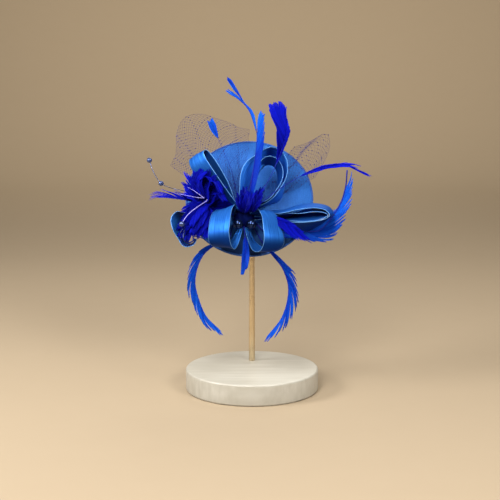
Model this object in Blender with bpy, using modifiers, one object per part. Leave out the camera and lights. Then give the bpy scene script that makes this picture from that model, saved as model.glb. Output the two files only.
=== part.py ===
"""Feather fascinator on a plain display stand.

Lengths are in metres and +Z is up. The origin is the centre of the stand's foot, on the table.
The hat and its trims are built in the hat's own frame, which leans on the rod: x runs across the
hat, y runs up its face and z points out of its face. Tables for that frame are in millimetres.
"""

import math
from typing import NamedTuple

import bmesh
import bpy
from mathutils import Matrix, Vector

MM = 0.001
GAP = 0.3
REST_GAP = 0.5

# Display stand, in metres
FOOT_DIAMETER = 0.150
FOOT_HEIGHT = 0.024
FOOT_EDGE = 0.0020
ROD_BEHIND = 0.030
ROD_FOOT_DIAMETER = 0.0070
ROD_TOP_DIAMETER = 0.0052

# Where the hat's rim is centred, in metres, and how far its face leans
HAT_CENTRE = (-0.003, 0.038, 0.2128)
HAT_LEAN = math.radians(57.5)

# Hat, in millimetres in its own frame
HAT_DIAMETER = 143.0
HAT_HEIGHT = 17.0
HAT_WALL = 2.0
BINDING_DIAMETER = 1.8
BINDING_DROP = -0.6
REST_DIAMETER = 44.0
REST_THICKNESS = 2.5
ROD_UP = 4.3
CLIP_LENGTH = 46.0
CLIP_WIDTH = 8.0
CLIP_THICKNESS = 1.6
CLIP_UP = -40.0

# Trims, in millimetres in the hat's frame
KNOT_CENTRE = Vector((-5.0, -31.0, 13.5))
KNOT_SIZE = Vector((13.0, 14.0, 9.5))
PAD_CENTRE = Vector((-52.0, -11.0, 8.4))
PAD_SIZE = Vector((9.0, 8.0, 6.0))
ROOT_CLEARS = (0.6, 3.6)
RIBBON_THICKNESS = 1.0
RIBBON_CROWN = 0.8
RIBBON_GATHERS = (7.0, 5.0)
RIBBON_STATIONS = 18
FEATHER_THICKNESS = 0.9
QUILL_WIDTH = 1.4
VANE_LIFT = 0.1
BARE_STATIONS = 9
PATH_STEPS = 241
SPAN_STEPS = 12
LOCK_STATIONS = 6
LOCK_THICKNESS = 1.2
LOCK_CROWN = 0.18
NET_CORD = 0.9
NET_LIFT = 1.6
PEARL_DIAMETER = 6.0
BEAD_DIAMETER = 11.5
WIRE_DIAMETER = 1.0
CURL_DIAMETER = 2.0


class Finish(NamedTuple):
    """One material: its colour, roughness and metallic value."""

    colour: tuple
    roughness: float
    metallic: float = 0.0


FINISHES = {
    "ivory_paint": Finish((0.82, 0.77, 0.64), 0.45),
    "champagne_brass": Finish((0.66, 0.50, 0.30), 0.28, 1.0),
    "clip_steel": Finish((0.60, 0.60, 0.62), 0.30, 1.0),
    "blue_cloth": Finish((0.045, 0.16, 0.52), 0.70),
    "cloth_binding": Finish((0.06, 0.22, 0.60), 0.60),
    "blue_satin": Finish((0.02, 0.18, 0.60), 0.32),
    "navy_satin": Finish((0.008, 0.02, 0.12), 0.40),
    "blue_feather": Finish((0.015, 0.07, 0.60), 0.60),
    "royal_feather": Finish((0.010, 0.012, 0.40), 0.60),
    "blue_net": Finish((0.06, 0.06, 0.35), 0.60),
    "navy_pearl": Finish((0.01, 0.03, 0.14), 0.12),
    "lilac_wire": Finish((0.35, 0.33, 0.75), 0.40),
}


def on_mound(centre, size, azimuth, elevation, clear=GAP):
    """A point just off an ellipsoid mound, seen from its centre at these angles in degrees."""
    turn = math.radians(azimuth)
    rise = math.radians(elevation)
    way = Vector((math.cos(rise) * math.cos(turn), math.cos(rise) * math.sin(turn), math.sin(rise)))
    skin = Vector((way.x * size.x, way.y * size.y, way.z * size.z))
    normal = Vector((way.x / size.x, way.y / size.y, way.z / size.z)).normalized()
    return centre + skin + normal * clear


def knot_root(azimuth, elevation):
    """Where a piece is sewn to the centre knot, and the point that it grows straight out to."""
    return tuple(on_mound(KNOT_CENTRE, KNOT_SIZE, azimuth, elevation, clear) for clear in ROOT_CLEARS)


def pad_root(azimuth, elevation):
    """Where a piece is sewn to the hackle pad, and the point that it grows straight out to."""
    return tuple(on_mound(PAD_CENTRE, PAD_SIZE, azimuth, elevation, clear) for clear in ROOT_CLEARS)


class Fold(NamedTuple):
    """One section of a ribbon: its near edge, how its far edge is shifted, and its width."""

    across: float
    up: float
    out: float
    spread_across: float
    spread_up: float
    width: float = 25.0


class Ribbon(NamedTuple):
    """A ribbon from one root through its folds to another root, or to a free end."""

    start: tuple
    folds: tuple
    end: tuple = ()


RIBBONS = {
    "ribbon_upper_left": Ribbon(
        knot_root(142, 52),
        (
            Fold(-23, -9, 33, -8, 0, 17),
            Fold(-38, 11, 42, -17, -2),
            Fold(-48, 26, 46, -17, -4),
            Fold(-51, 36, 45, -17, -2),
            Fold(-46, 38, 42, -17, -2),
            Fold(-35, 23, 39, -16, -2),
            Fold(-22, 0, 31, -9, -2, 15),
        ),
        knot_root(146, 30),
    ),
    "ribbon_top_outer": Ribbon(
        knot_root(114, 46),
        (
            Fold(-11, -7, 35, 9, 6, 18),
            Fold(-10, 9, 42, 13, 8),
            Fold(-4, 22, 45, 13, 9),
            Fold(9, 32, 47, 6, 10),
            Fold(23, 40, 48, -1, 6),
            Fold(34, 36, 48, -2, 4),
            Fold(42, 23, 47, -2, 3),
            Fold(41, 4, 45, 1, 4),
            Fold(30, -13, 38, 7, 5, 22),
            Fold(17, -21, 30, 8, 4, 14),
        ),
        knot_root(38, 42),
    ),
    "ribbon_top_inner": Ribbon(
        knot_root(88, 40),
        (
            Fold(7, -2, 34, 7, 3, 16),
            Fold(12, 16, 40, 10, 2, 20),
            Fold(17, 28, 42, 9, 0, 20),
            Fold(25, 24, 42, 4, 1, 20),
            Fold(33, 14, 41, -3, 2, 20),
            Fold(34, 4, 39, -8, 1, 20),
            Fold(27, -8, 35, -9, 2, 18),
        ),
        knot_root(58, 36),
    ),
    "ribbon_front_left": Ribbon(
        knot_root(172, 34),
        (
            Fold(-14, -22, 30, -20, -2, 23),
            Fold(-18, -29, 38, -21, 1),
            Fold(-20, -39, 43, -22, 3),
            Fold(-21, -50, 46, -23, 2),
            Fold(-22, -61, 45, -23, 0),
            Fold(-21, -70, 40, -23, 2),
            Fold(-19, -75, 33, -21, 6),
            Fold(-16, -74, 25, -16, 7, 20),
            Fold(-12, -64, 18, -11, 3, 13),
        ),
        knot_root(-110, 10),
    ),
    "ribbon_front_right": Ribbon(
        knot_root(-2, 52),
        (
            Fold(8, -29, 32, 15, 0, 16),
            Fold(12, -36, 37, 17, 2, 19),
            Fold(14, -45, 42, 20, 4),
            Fold(15, -56, 45, 21, 3),
            Fold(16, -67, 44, 22, 3),
            Fold(15, -75, 39, 22, 4),
            Fold(11, -79, 31, 19, 5, 22),
            Fold(4, -75, 23, 15, 5, 18),
            Fold(-1, -61, 17, 8, 2, 11),
        ),
        knot_root(-78, 14),
    ),
    "ribbon_side_outer": Ribbon(
        knot_root(24, 32),
        (
            Fold(17, -28, 22, 1, 4, 8),
            Fold(27, -31, 24, 0, 8, 11),
            Fold(38, -34, 33, -1, 12, 22),
            Fold(56, -32, 38, 1, 15),
            Fold(72, -31, 39, 1, 15),
            Fold(83, -33, 38, 5, 14),
            Fold(88, -39, 37, 6, 12),
            Fold(80, -44, 36, 7, 8),
            Fold(62, -46, 35, 4, 0, 24),
            Fold(45, -44, 30, 3, -2, 15),
            Fold(30, -40, 22, 2, -2, 11),
            Fold(17, -36, 20, 1, -1, 7),
        ),
        knot_root(-27, 24),
    ),
    "ribbon_side_inner": Ribbon(
        knot_root(8, 30),
        (
            Fold(17, -31, 21, 1, 1, 7),
            Fold(28, -34, 23, 1, 4, 11),
            Fold(43, -37, 32, 2, 8, 19),
            Fold(56, -36, 35, 2, 10, 22),
            Fold(69, -35, 36, 2, 10, 22),
            Fold(79, -37, 36, 3, 10, 22),
            Fold(84, -40, 35, 4, 8, 22),
            Fold(75, -42, 34, 1, 6, 22),
            Fold(60, -42, 31, 1, 4, 20),
            Fold(45, -40, 27, 1, 2, 16),
            Fold(30, -37, 21, 1, 0, 9),
            Fold(17, -34, 20, 1, 0, 7),
        ),
        knot_root(-10, 28),
    ),
    "ribbon_tail": Ribbon(
        pad_root(238, 14),
        (
            Fold(-65, -27, 17, 0, 4, 12),
            Fold(-73, -29, 23, 1, 5, 19),
            Fold(-81, -30, 27, 3, 5, 22),
            Fold(-87, -38, 27, 8, 3),
            Fold(-85, -50, 25, 9, 4),
            Fold(-79, -60, 22, 6, 8),
            Fold(-74, -67, 20, 3, 12),
            Fold(-68, -69, 19, 0, 13),
            Fold(-61, -66, 19, -2, 11, 23),
            Fold(-58, -60, 20, -4, 8, 20),
        ),
    ),
}


class Feather(NamedTuple):
    """A feather: where its quill runs, the stretch that has a vane, and the locks of its vane."""

    finish: str
    root: tuple
    quill: tuple
    vane_from: float
    vane_to: float
    left: float
    right: float
    locks: int
    sweep: float
    notch: float
    blunt: float = 0.0
    fork: tuple = ()


FEATHERS = {
    "plume_tall": Feather(
        "blue_feather",
        knot_root(70, 82),
        ((4, -4, 44), (10, 33, 56), (12, 57.5, 59), (12.6, 73.5, 58)),
        0.14, 1.0, 17, 17, 10, 18, 0.25, 0.5,
    ),
    "plume_forked": Feather(
        "blue_feather",
        knot_root(115, 74),
        ((2, 3, 40), (7, 30, 51), (8.5, 51, 52), (6, 64, 52), (1, 81, 52), (-4, 90, 52), (-11, 103, 51),
         (-25, 126, 51)),
        0.44, 1.0, 7, 13, 10, 22, 0.35, 0.1, (12, 18, 34),
    ),
    "plume_fan": Feather(
        "royal_feather",
        knot_root(50, 64),
        ((14, -11, 40), (25, 6, 50), (33, 27, 53), (35, 50, 52), (34, 74, 50)),
        0.58, 1.0, 24, 24, 6, 30, 0.18, 1.0,
    ),
    "plume_side": Feather(
        "blue_feather",
        knot_root(14, 62),
        ((28, -14, 44), (56, 3, 48), (78, 13, 46), (93, 16.5, 45), (112, 18, 43), (128, 15, 41)),
        0.48, 1.0, 12, 12, 9, 17, 0.4, 0.8,
    ),
    "plume_sweeping": Feather(
        "blue_feather",
        knot_root(-32, 4),
        ((15, -46, 13), (29, -46, 10.6), (46, -44, 9), (62, -45, 7), (79, -43, 6), (93, -28, 8),
         (103, -12, 11), (109, 7, 14), (111, 26, 18)),
        0.26, 0.92, 6, 22, 12, 40, 0.35, 0.3,
    ),
    "plume_hanging_left": Feather(
        "blue_feather",
        knot_root(-145, 8),
        ((-24, -56, 10), (-43, -65, 7), (-54, -77, 4), (-60, -96, 0), (-59, -112, -6), (-49, -137, -14),
         (-33, -153, -19)),
        0.28, 1.0, 5, 15, 12, 26, 0.25, 0.3,
    ),
    "plume_hanging_right": Feather(
        "blue_feather",
        knot_root(-50, 4),
        ((10, -52, 12), (17, -63, 9), (25, -73, 7), (38, -90, 2), (44, -112, -6), (38, -137, -15),
         (22, -158, -21)),
        0.24, 1.0, 17, 5, 12, 28, 0.35, 0.4,
    ),
    "plume_short": Feather(
        "blue_feather",
        knot_root(-94, 27),
        ((-5, -56, 21), (-5, -80, 26), (-7, -92, 25)),
        0.28, 1.0, 9, 9, 6, 24, 0.25, 0.3,
    ),
    "plume_left": Feather(
        "blue_feather",
        pad_root(180, 26),
        ((-69, -11.6, 18), (-87, -11.7, 24), (-102, -12.5, 27), (-112, -16.2, 28)),
        0.08, 0.84, 3, 11, 7, 32, 0.3,
    ),
    "plume_leaf": Feather(
        "blue_feather",
        knot_root(128, 36),
        ((-13, -12, 20), (-20, 24, 20), (-28, 46, 19), (-35, 64, 18), (-40.5, 80, 17.5), (-44, 95, 17)),
        0.77, 1.0, 11, 11, 5, 26, 0.15, 0.4,
    ),
    "plume_tuft": Feather(
        "royal_feather",
        knot_root(-85, 70),
        ((3, -27, 35), (3, -21, 41), (2, -15, 45)),
        0.2, 1.0, 17, 17, 5, 38, 0.35, 0.7,
    ),
}


class Lock(NamedTuple):
    """A curled lock of the hackle cluster: the points along its middle and its widest width."""

    middle: tuple
    width: float


HACKLES = (
    Lock(((-60, 2, 22), (-67, 12, 26), (-70, 20, 27)), 15),
    Lock(((-57, 0, 28), (-55, 6, 35), (-47, 5, 40), (-42, -4, 42)), 14),
    Lock(((-43, -6, 28), (-41, 1, 36), (-36, 1, 40), (-32, -7, 41)), 15),
    Lock(((-64, -4, 22), (-73, -1, 25)), 14),
    Lock(((-62, -19, 24), (-70, -24, 29), (-76, -33, 32)), 15),
    Lock(((-56, -30, 28), (-64, -44, 34), (-68, -57, 33)), 17),
    Lock(((-50, -33, 27), (-50, -48, 34), (-47, -60, 33)), 16),
    Lock(((-38, -13, 22), (-30, -13, 27), (-24, -17, 30)), 13),
    Lock(((-42, -22, 17), (-39, -33, 15), (-41, -43, 14)), 12),
)


class Net(NamedTuple):
    """A gathered net: the arc of the knot it is sewn to, its outer edge, and its cells each way."""

    first_azimuth: float
    last_azimuth: float
    outer: tuple
    cells_round: int
    cells_out: int


NETS = {
    "veil_left": Net(
        96, 139,
        ((0, 83, 8), (-13, 87, 8), (-36, 97, 9), (-55, 102, 10), (-69, 102, 10), (-79, 92, 11), (-84, 77, 12),
         (-84, 60, 12), (-85, 47, 12), (-90, 34, 12)),
        6, 4,
    ),
    "veil_right": Net(
        62, 32,
        ((52, 60, 8), (72, 68, 10), (90, 76, 12), (92, 56, 12), (83, 35, 11), (75, 20, 10)),
        3, 3,
    ),
}


class Spray(NamedTuple):
    """A fine wire with pearls on it: the wire's points and where its pearls sit."""

    wire: tuple
    pearls: tuple


SPRAYS = {
    "pearl_spray_outer": Spray(
        (*pad_root(150, 42), (-72, -1, 19), (-87, 0, 25), (-99, 5, 27), (-108, 19, 28), (-113, 33.6, 28)),
        ((-99, 5, 27), (-113, 33.6, 28)),
    ),
    "pearl_spray_lower": Spray(
        ((-48, -11.2, 22.6), (-47.5, -20, 34), (-55, -30, 43), (-65, -40, 46), (-71, -48, 46), (-73.5, -53, 45)),
        ((-73.5, -53, 45),),
    ),
}
BEADS = {"centre_bead_left": (-122, 38), "centre_bead_right": (-60, 38)}
CURL = (
    *pad_root(262, 25),
    (-57, -28, 14),
    (-64, -40, 18),
    (-71, -50, 20),
    (-73, -56, 20),
    (-72, -61, 20),
    (-68, -63, 20),
    (-64, -60, 21),
)


def clear_scene():
    """Removes every object, so that the model starts from nothing."""
    for obj in list(bpy.data.objects):
        bpy.data.objects.remove(obj)


def make_collection(name):
    """A new collection under the scene's own."""
    group = bpy.data.collections.new(name)
    bpy.context.scene.collection.children.link(group)
    return group


def make_materials():
    """One Principled material for each finish."""
    made = {}
    for name, finish in FINISHES.items():
        material = bpy.data.materials.new(name)
        material.use_nodes = True
        shader = material.node_tree.nodes["Principled BSDF"]
        shader.inputs["Base Color"].default_value = (*finish.colour, 1.0)
        shader.inputs["Roughness"].default_value = finish.roughness
        shader.inputs["Metallic"].default_value = finish.metallic
        material.diffuse_color = (*finish.colour, 1.0)
        made[name] = material
    return made


class Workshop:
    """Where the pieces go: their collections, their materials and the hat's leaning frame."""

    def __init__(self):
        self.pieces = make_collection("feather_fascinator")
        self.cutters = make_collection("cutters")
        self.materials = make_materials()
        self.hat = bpy.data.objects.new("hat_frame", None)
        self.hat.location = HAT_CENTRE
        self.hat.rotation_euler = (HAT_LEAN, 0.0, 0.0)
        self.pieces.objects.link(self.hat)

    def add(self, name, data, finish, parent=None):
        """A named object of the model with its own finish."""
        obj = bpy.data.objects.new(name, data)
        data.materials.append(self.materials[finish])
        self.pieces.objects.link(obj)
        obj.parent = parent
        return obj

    def hide(self, obj):
        """Turns a piece into a helper, which the model leaves out."""
        self.pieces.objects.unlink(obj)
        self.cutters.objects.link(obj)
        obj.hide_render = True
        obj.display_type = "WIRE"

    def fuse(self, body, other):
        """Joins another piece to a body as one solid."""
        self.hide(other)
        join = body.modifiers.new("Join " + other.name, "BOOLEAN")
        join.operation = "UNION"
        join.object = other


def turned_mesh(name, profile):
    """The open half profile of a turned piece, as (radius, height) pairs from top to bottom."""
    mesh = bpy.data.meshes.new(name)
    shape = bmesh.new()
    verts = [shape.verts.new((radius, 0.0, height)) for radius, height in profile]
    for above, below in zip(verts, verts[1:]):
        shape.edges.new((above, below))
    shape.to_mesh(mesh)
    shape.free()
    return mesh


def turn(obj, steps, closed=True):
    """Spins a profile round its Z axis; a closed one meets the axis at both ends."""
    screw = obj.modifiers.new("Turn", "SCREW")
    screw.steps = steps
    screw.render_steps = steps
    screw.use_merge_vertices = closed
    screw.merge_threshold = 0.00001
    screw.use_smooth_shade = True


def dome_height(radius, inset=0.0):
    """How high the hat's outer skin, moved in by an inset, stands above the rim at this radius."""
    ball = ((HAT_DIAMETER / 2) ** 2 + HAT_HEIGHT**2) / (2 * HAT_HEIGHT)
    reach = max((ball - inset) ** 2 - radius**2, 0.0)
    return math.sqrt(reach) - (ball - HAT_HEIGHT)


def smooth_path(points, count):
    """Evenly spaced points on a smooth curve through these points."""
    points = [Vector(point) for point in points]
    before = points[0] * 2 - points[1]
    after = points[-1] * 2 - points[-2]
    knots = [before, *points, after]
    fine = []
    for a, b, c, d in zip(knots, knots[1:], knots[2:], knots[3:]):
        bend = 2 * a - 5 * b + 4 * c - d
        twist = 3 * b - a - 3 * c + d
        for step in range(SPAN_STEPS):
            t = step / SPAN_STEPS
            fine.append(b + ((c - a) * t + bend * t**2 + twist * t**3) / 2)
    fine.append(points[-1])
    return evenly(fine, count)


def evenly(fine, count):
    """Reads evenly spaced points off a fine line of points."""
    reached = [0.0]
    for a, b in zip(fine, fine[1:]):
        reached.append(reached[-1] + (b - a).length)
    picked = []
    index = 0
    for step in range(count):
        goal = reached[-1] * step / (count - 1)
        while index < len(fine) - 2 and reached[index + 1] < goal:
            index += 1
        share = (goal - reached[index]) / max(reached[index + 1] - reached[index], 1e-9)
        picked.append(fine[index].lerp(fine[index + 1], min(share, 1.0)))
    return picked


def grid_mesh(name, columns, rows, place):
    """A sheet of quads whose points are placed by a function of how far along and across they are."""
    mesh = bpy.data.meshes.new(name)
    shape = bmesh.new()
    bmesh.ops.create_grid(shape, x_segments=columns, y_segments=rows, size=0.5)
    for vert in shape.verts:
        vert.co = place(vert.co.x + 0.5, vert.co.y + 0.5) * MM
    bmesh.ops.recalc_face_normals(shape, faces=shape.faces)
    shape.to_mesh(mesh)
    shape.free()
    mesh.shade_smooth()
    return mesh


def thicken(obj, thickness):
    """Gives a sheet its wall, half to each side."""
    wall = obj.modifiers.new("Wall", "SOLIDIFY")
    wall.thickness = thickness * MM
    wall.offset = 0.0
    wall.use_even_offset = True


def on_rule(values, share):
    """Reads an evenly spaced list at a share of its length."""
    index = min(round(share * (len(values) - 1)), len(values) - 1)
    return values[index]


def ribbon_edges(ribbon):
    """The near and far edge points of a ribbon at each of its folds and at its gathered ends."""
    near = []
    far = []
    for fold in ribbon.folds:
        start = Vector((fold.across, fold.up, fold.out))
        flat = fold.spread_across**2 + fold.spread_up**2
        back = math.sqrt(max(fold.width**2 - flat, 0.0))
        near.append(start)
        far.append(start + Vector((fold.spread_across, fold.spread_up, -back)))
    for root, index in ((ribbon.start, 0), (ribbon.end, -1)):
        if not root:
            continue
        out = (root[1] - root[0]).normalized()
        spread = far[index] - near[index]
        spread -= out * spread.dot(out)
        for point, width in zip(reversed(root), RIBBON_GATHERS):
            half = spread.normalized() * width / 2
            place = 0 if index == 0 else len(near)
            near.insert(place, point - half)
            far.insert(place, point + half)
    return near, far


def make_ribbon(shop, name, ribbon):
    """A satin ribbon, crowned a little across its width."""
    near, far = ribbon_edges(ribbon)
    middle = [(a + b) / 2 for a, b in zip(near, far)]
    count = RIBBON_STATIONS + 1
    middle_line = smooth_path(middle, count)
    near_line = smooth_path(near, count)
    far_line = smooth_path(far, count)
    reach = 1 / RIBBON_STATIONS

    def place(along, over):
        a = on_rule(near_line, along)
        b = on_rule(far_line, along)
        centre = on_rule(middle_line, along)
        step = on_rule(middle_line, min(along + reach, 1.0)) - on_rule(middle_line, max(along - reach, 0.0))
        lift = step.cross(b - a).normalized() * RIBBON_CROWN * math.sin(math.pi * over)
        share = 2 * over - 1
        side = (b - a) / 2
        return (centre + side * share).lerp(a.lerp(b, over), 0.5) + lift

    obj = shop.add(name, grid_mesh(name, RIBBON_STATIONS, 2, place), "blue_satin", shop.hat)
    thicken(obj, RIBBON_THICKNESS)


def vane_reach(share, blunt):
    """How much of its full length a lock has, from 0 at the vane's root to 1 at its tip."""
    rise = min(share / 0.4, 1.0)
    fall = 1.0 - (1.0 - blunt) * max(share - 0.5, 0.0)
    return (0.35 + 0.65 * rise) * fall


def feather_stations(feather):
    """How far along the quill each station is, and which stations the vane starts and ends at."""
    bare = max(round(feather.vane_from * BARE_STATIONS), 2)
    locks = feather.locks * 2
    stations = [feather.vane_from * step / bare for step in range(bare)]
    pitch = (feather.vane_to - feather.vane_from) / locks
    stations += [feather.vane_from + pitch * step for step in range(locks + 1)]
    if feather.vane_to < 1.0:
        stations += [(1.0 + feather.vane_to) / 2, 1.0]
    return stations, bare, bare + locks


def make_feather(shop, name, feather):
    """A quill with a flat vane down both edges, whose outer edge is cut into swept locks."""
    stations, first, last = feather_stations(feather)
    segments = len(stations) - 1
    fine = smooth_path((*feather.root, *feather.quill), PATH_STEPS)
    line = [on_rule(fine, share) for share in stations]
    facing = Vector((0.0, 0.0, 1.0))
    ways = []
    for index in range(segments + 1):
        ahead = (line[min(index + 1, segments)] - line[max(index - 1, 0)]).normalized()
        ways.append((ahead, facing.cross(ahead).normalized()))
    mesh = bpy.data.meshes.new(name)
    shape = bmesh.new()
    bmesh.ops.create_grid(shape, x_segments=segments, y_segments=1, size=0.5)
    places = {}
    for vert in shape.verts:
        index = round((vert.co.x + 0.5) * segments)
        hand = 1 if vert.co.y > 0 else -1
        places[vert] = (index, hand)
        half = QUILL_WIDTH * (1.0 - 0.5 * index / segments) / 2
        vert.co = (line[index] + ways[index][1] * hand * half) * MM
    chain = [edge for edge in shape.edges if in_vane(edge, places, first, last, feather.vane_to == 1.0)]
    made = bmesh.ops.extrude_edge_only(shape, edges=chain)["geom"]
    for vert in [item for item in made if isinstance(item, bmesh.types.BMVert)]:
        root = next(edge.other_vert(vert) for edge in vert.link_edges if edge.other_vert(vert) in places)
        index, hand = places[root]
        number = index - first
        length = feather.left if hand > 0 else feather.right
        length *= vane_reach(number / (last - first), feather.blunt)
        sweep = feather.sweep
        if number % 2:
            length *= 1.0 - feather.notch
        if feather.fork and hand > 0 and number == feather.fork[0]:
            length, sweep = feather.fork[1:]
        if index == segments:
            sweep *= 0.5
        ahead, side = ways[index]
        way = ahead * math.cos(math.radians(sweep)) + side * hand * math.sin(math.radians(sweep))
        vert.co = root.co + (way + facing * VANE_LIFT) * length * MM
    bmesh.ops.recalc_face_normals(shape, faces=shape.faces)
    shape.to_mesh(mesh)
    shape.free()
    obj = shop.add(name, mesh, feather.finish, shop.hat)
    thicken(obj, FEATHER_THICKNESS)


def in_vane(edge, places, first, last, to_tip):
    """Whether an edge of the quill is one that the vane grows from."""
    (one, hand), (other, other_hand) = (places[vert] for vert in edge.verts)
    if one == other:
        return to_tip and one == last
    return hand == other_hand and first <= min(one, other) < last


def make_lock(shop, number, lock):
    """One curled, pointed lock that grows out of the hackle pad."""
    start = PAD_CENTRE + Vector((0.0, 0.0, PAD_SIZE.z * 0.3))
    line = smooth_path((start, *lock.middle), LOCK_STATIONS + 1)

    reach = 1 / LOCK_STATIONS

    def place(along, over):
        centre = on_rule(line, along)
        step = on_rule(line, min(along + reach, 1.0)) - on_rule(line, max(along - reach, 0.0))
        side = Vector((0.0, 0.0, 1.0)).cross(step)
        if side.length < 1e-6:
            side = Vector((1.0, 0.0, 0.0))
        side.normalize()
        width = lock.width * (0.35 + 0.65 * math.sin(math.pi * min(along + 0.08, 1.0)))
        lift = step.cross(side).normalized() * math.sin(math.pi * over) * width * LOCK_CROWN
        return centre + side * (over - 0.5) * width + lift

    name = f"hackle_lock_{number}"
    obj = shop.add(name, grid_mesh(name, LOCK_STATIONS, 2, place), "royal_feather", shop.hat)
    thicken(obj, LOCK_THICKNESS)
    return obj


def make_mound(shop, name, centre, size, finish, rings, sides):
    """A sewn mound that sits on the dome: an ellipsoid whose underside follows the hat."""
    mesh = bpy.data.meshes.new(name)
    shape = bmesh.new()
    bmesh.ops.create_uvsphere(shape, u_segments=sides, v_segments=rings, radius=1.0)
    for vert in shape.verts:
        point = centre + Vector((vert.co.x * size.x, vert.co.y * size.y, vert.co.z * size.z))
        floor = dome_height(math.hypot(point.x, point.y)) + GAP
        vert.co = Vector((point.x, point.y, max(point.z, floor))) * MM
    shape.to_mesh(mesh)
    shape.free()
    mesh.shade_smooth()
    return shop.add(name, mesh, finish, shop.hat)


def make_net(shop, name, net):
    """A coarse diamond net, cut right through, from the knot to its outer edge."""
    outer = smooth_path(net.outer, net.cells_round * 4 + 1)

    def place(round_share, out_share):
        azimuth = net.first_azimuth + (net.last_azimuth - net.first_azimuth) * round_share
        turn_angle = math.radians(azimuth)
        ring = KNOT_SIZE.y + 1.5
        x = KNOT_CENTRE.x + ring * math.cos(turn_angle)
        y = KNOT_CENTRE.y + ring * math.sin(turn_angle)
        inner = Vector((x, y, dome_height(math.hypot(x, y)) + NET_LIFT + GAP))
        edge = on_rule(outer, round_share)
        point = inner.lerp(edge, out_share)
        floor = dome_height(math.hypot(point.x, point.y)) + NET_LIFT
        point.z = max(point.z, floor)
        return point

    mesh = bpy.data.meshes.new(name)
    shape = bmesh.new()
    bmesh.ops.create_grid(shape, x_segments=net.cells_round, y_segments=net.cells_out, size=0.5)
    straight = [edge for edge in shape.edges if not edge.is_boundary]
    bmesh.ops.poke(shape, faces=shape.faces)
    bmesh.ops.dissolve_edges(shape, edges=straight)
    for vert in shape.verts:
        vert.co = place(vert.co.x + 0.5, vert.co.y + 0.5) * MM
    bmesh.ops.recalc_face_normals(shape, faces=shape.faces)
    shape.to_mesh(mesh)
    shape.free()
    obj = shop.add(name, mesh, "blue_net", shop.hat)
    cords = obj.modifiers.new("Cords", "WIREFRAME")
    cords.thickness = NET_CORD * MM
    cords.use_even_offset = False
    cords.use_boundary = True


def tube_mesh(shop, name, points, diameter):
    """A round wire or quill as a closed mesh, from a curve with filled caps."""
    curve = bpy.data.curves.new(name, "CURVE")
    curve.dimensions = "3D"
    curve.bevel_depth = diameter / 2 * MM
    curve.bevel_resolution = 1
    curve.use_fill_caps = True
    spline = curve.splines.new("POLY")
    spline.points.add(len(points) - 1)
    for target, point in zip(spline.points, points):
        target.co = (*(Vector(point) * MM), 1.0)
    guide = bpy.data.objects.new(name + "_curve", curve)
    shop.pieces.objects.link(guide)
    bpy.context.view_layer.update()
    solid = guide.evaluated_get(bpy.context.evaluated_depsgraph_get())
    mesh = bpy.data.meshes.new_from_object(solid)
    bpy.data.objects.remove(guide)
    shape = bmesh.new()
    shape.from_mesh(mesh)
    bmesh.ops.remove_doubles(shape, verts=shape.verts, dist=0.00001)
    shape.to_mesh(mesh)
    shape.free()
    mesh.materials.clear()
    return mesh


def ball_mesh(name, diameter, sides, rings):
    """A round bead."""
    mesh = bpy.data.meshes.new(name)
    shape = bmesh.new()
    bmesh.ops.create_uvsphere(shape, u_segments=sides, v_segments=rings, radius=diameter / 2 * MM)
    shape.to_mesh(mesh)
    shape.free()
    mesh.shade_smooth()
    return mesh


def make_stand(shop):
    """The ivory foot, the brass rod and the rest plate inside the hat."""
    radius = FOOT_DIAMETER / 2
    foot_profile = (
        (0.0, FOOT_HEIGHT),
        (radius - FOOT_EDGE, FOOT_HEIGHT),
        (radius - FOOT_EDGE * 0.3, FOOT_HEIGHT - FOOT_EDGE * 0.3),
        (radius, FOOT_HEIGHT - FOOT_EDGE),
        (radius, FOOT_EDGE),
        (radius - FOOT_EDGE, 0.0),
        (0.0, 0.0),
    )
    foot = shop.add("stand_foot", turned_mesh("stand_foot", foot_profile), "ivory_paint")
    turn(foot, 44)

    rod_bottom = FOOT_HEIGHT + GAP * MM
    rest_back = Vector((0.0, ROD_UP, rest_height(0.0, ROD_UP, REST_THICKNESS + 2 * REST_GAP)))
    rest_back = Matrix.Rotation(HAT_LEAN, 3, "X") @ (rest_back * MM) + Vector(HAT_CENTRE)
    rod_top = rest_back.z + 0.012
    rod_profile = (
        (0.0, rod_top),
        (ROD_TOP_DIAMETER / 2, rod_top),
        (ROD_FOOT_DIAMETER / 2, rod_bottom),
        (0.0, rod_bottom),
    )
    rod = shop.add("stand_rod", turned_mesh("stand_rod", rod_profile), "champagne_brass")
    turn(rod, 14)
    rod.location = (0.0, ROD_BEHIND, 0.0)

    trim = bpy.data.meshes.new("rod_trim")
    shape = bmesh.new()
    bmesh.ops.create_cube(shape, size=0.04)
    bmesh.ops.translate(shape, verts=shape.verts, vec=(0.0, 0.0, 0.02))
    shape.to_mesh(trim)
    shape.free()
    cutter = bpy.data.objects.new("rod_trim", trim)
    cutter.rotation_euler = (HAT_LEAN, 0.0, 0.0)
    cutter.location = rest_back
    shop.pieces.objects.link(cutter)
    shop.hide(cutter)
    cut = rod.modifiers.new("Cut to the plate", "BOOLEAN")
    cut.operation = "DIFFERENCE"
    cut.object = cutter


def rest_height(x, y, below):
    """The height of a sheet that lies this far below the hat's inner skin."""
    return dome_height(math.hypot(x, y), HAT_WALL + below)


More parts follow.
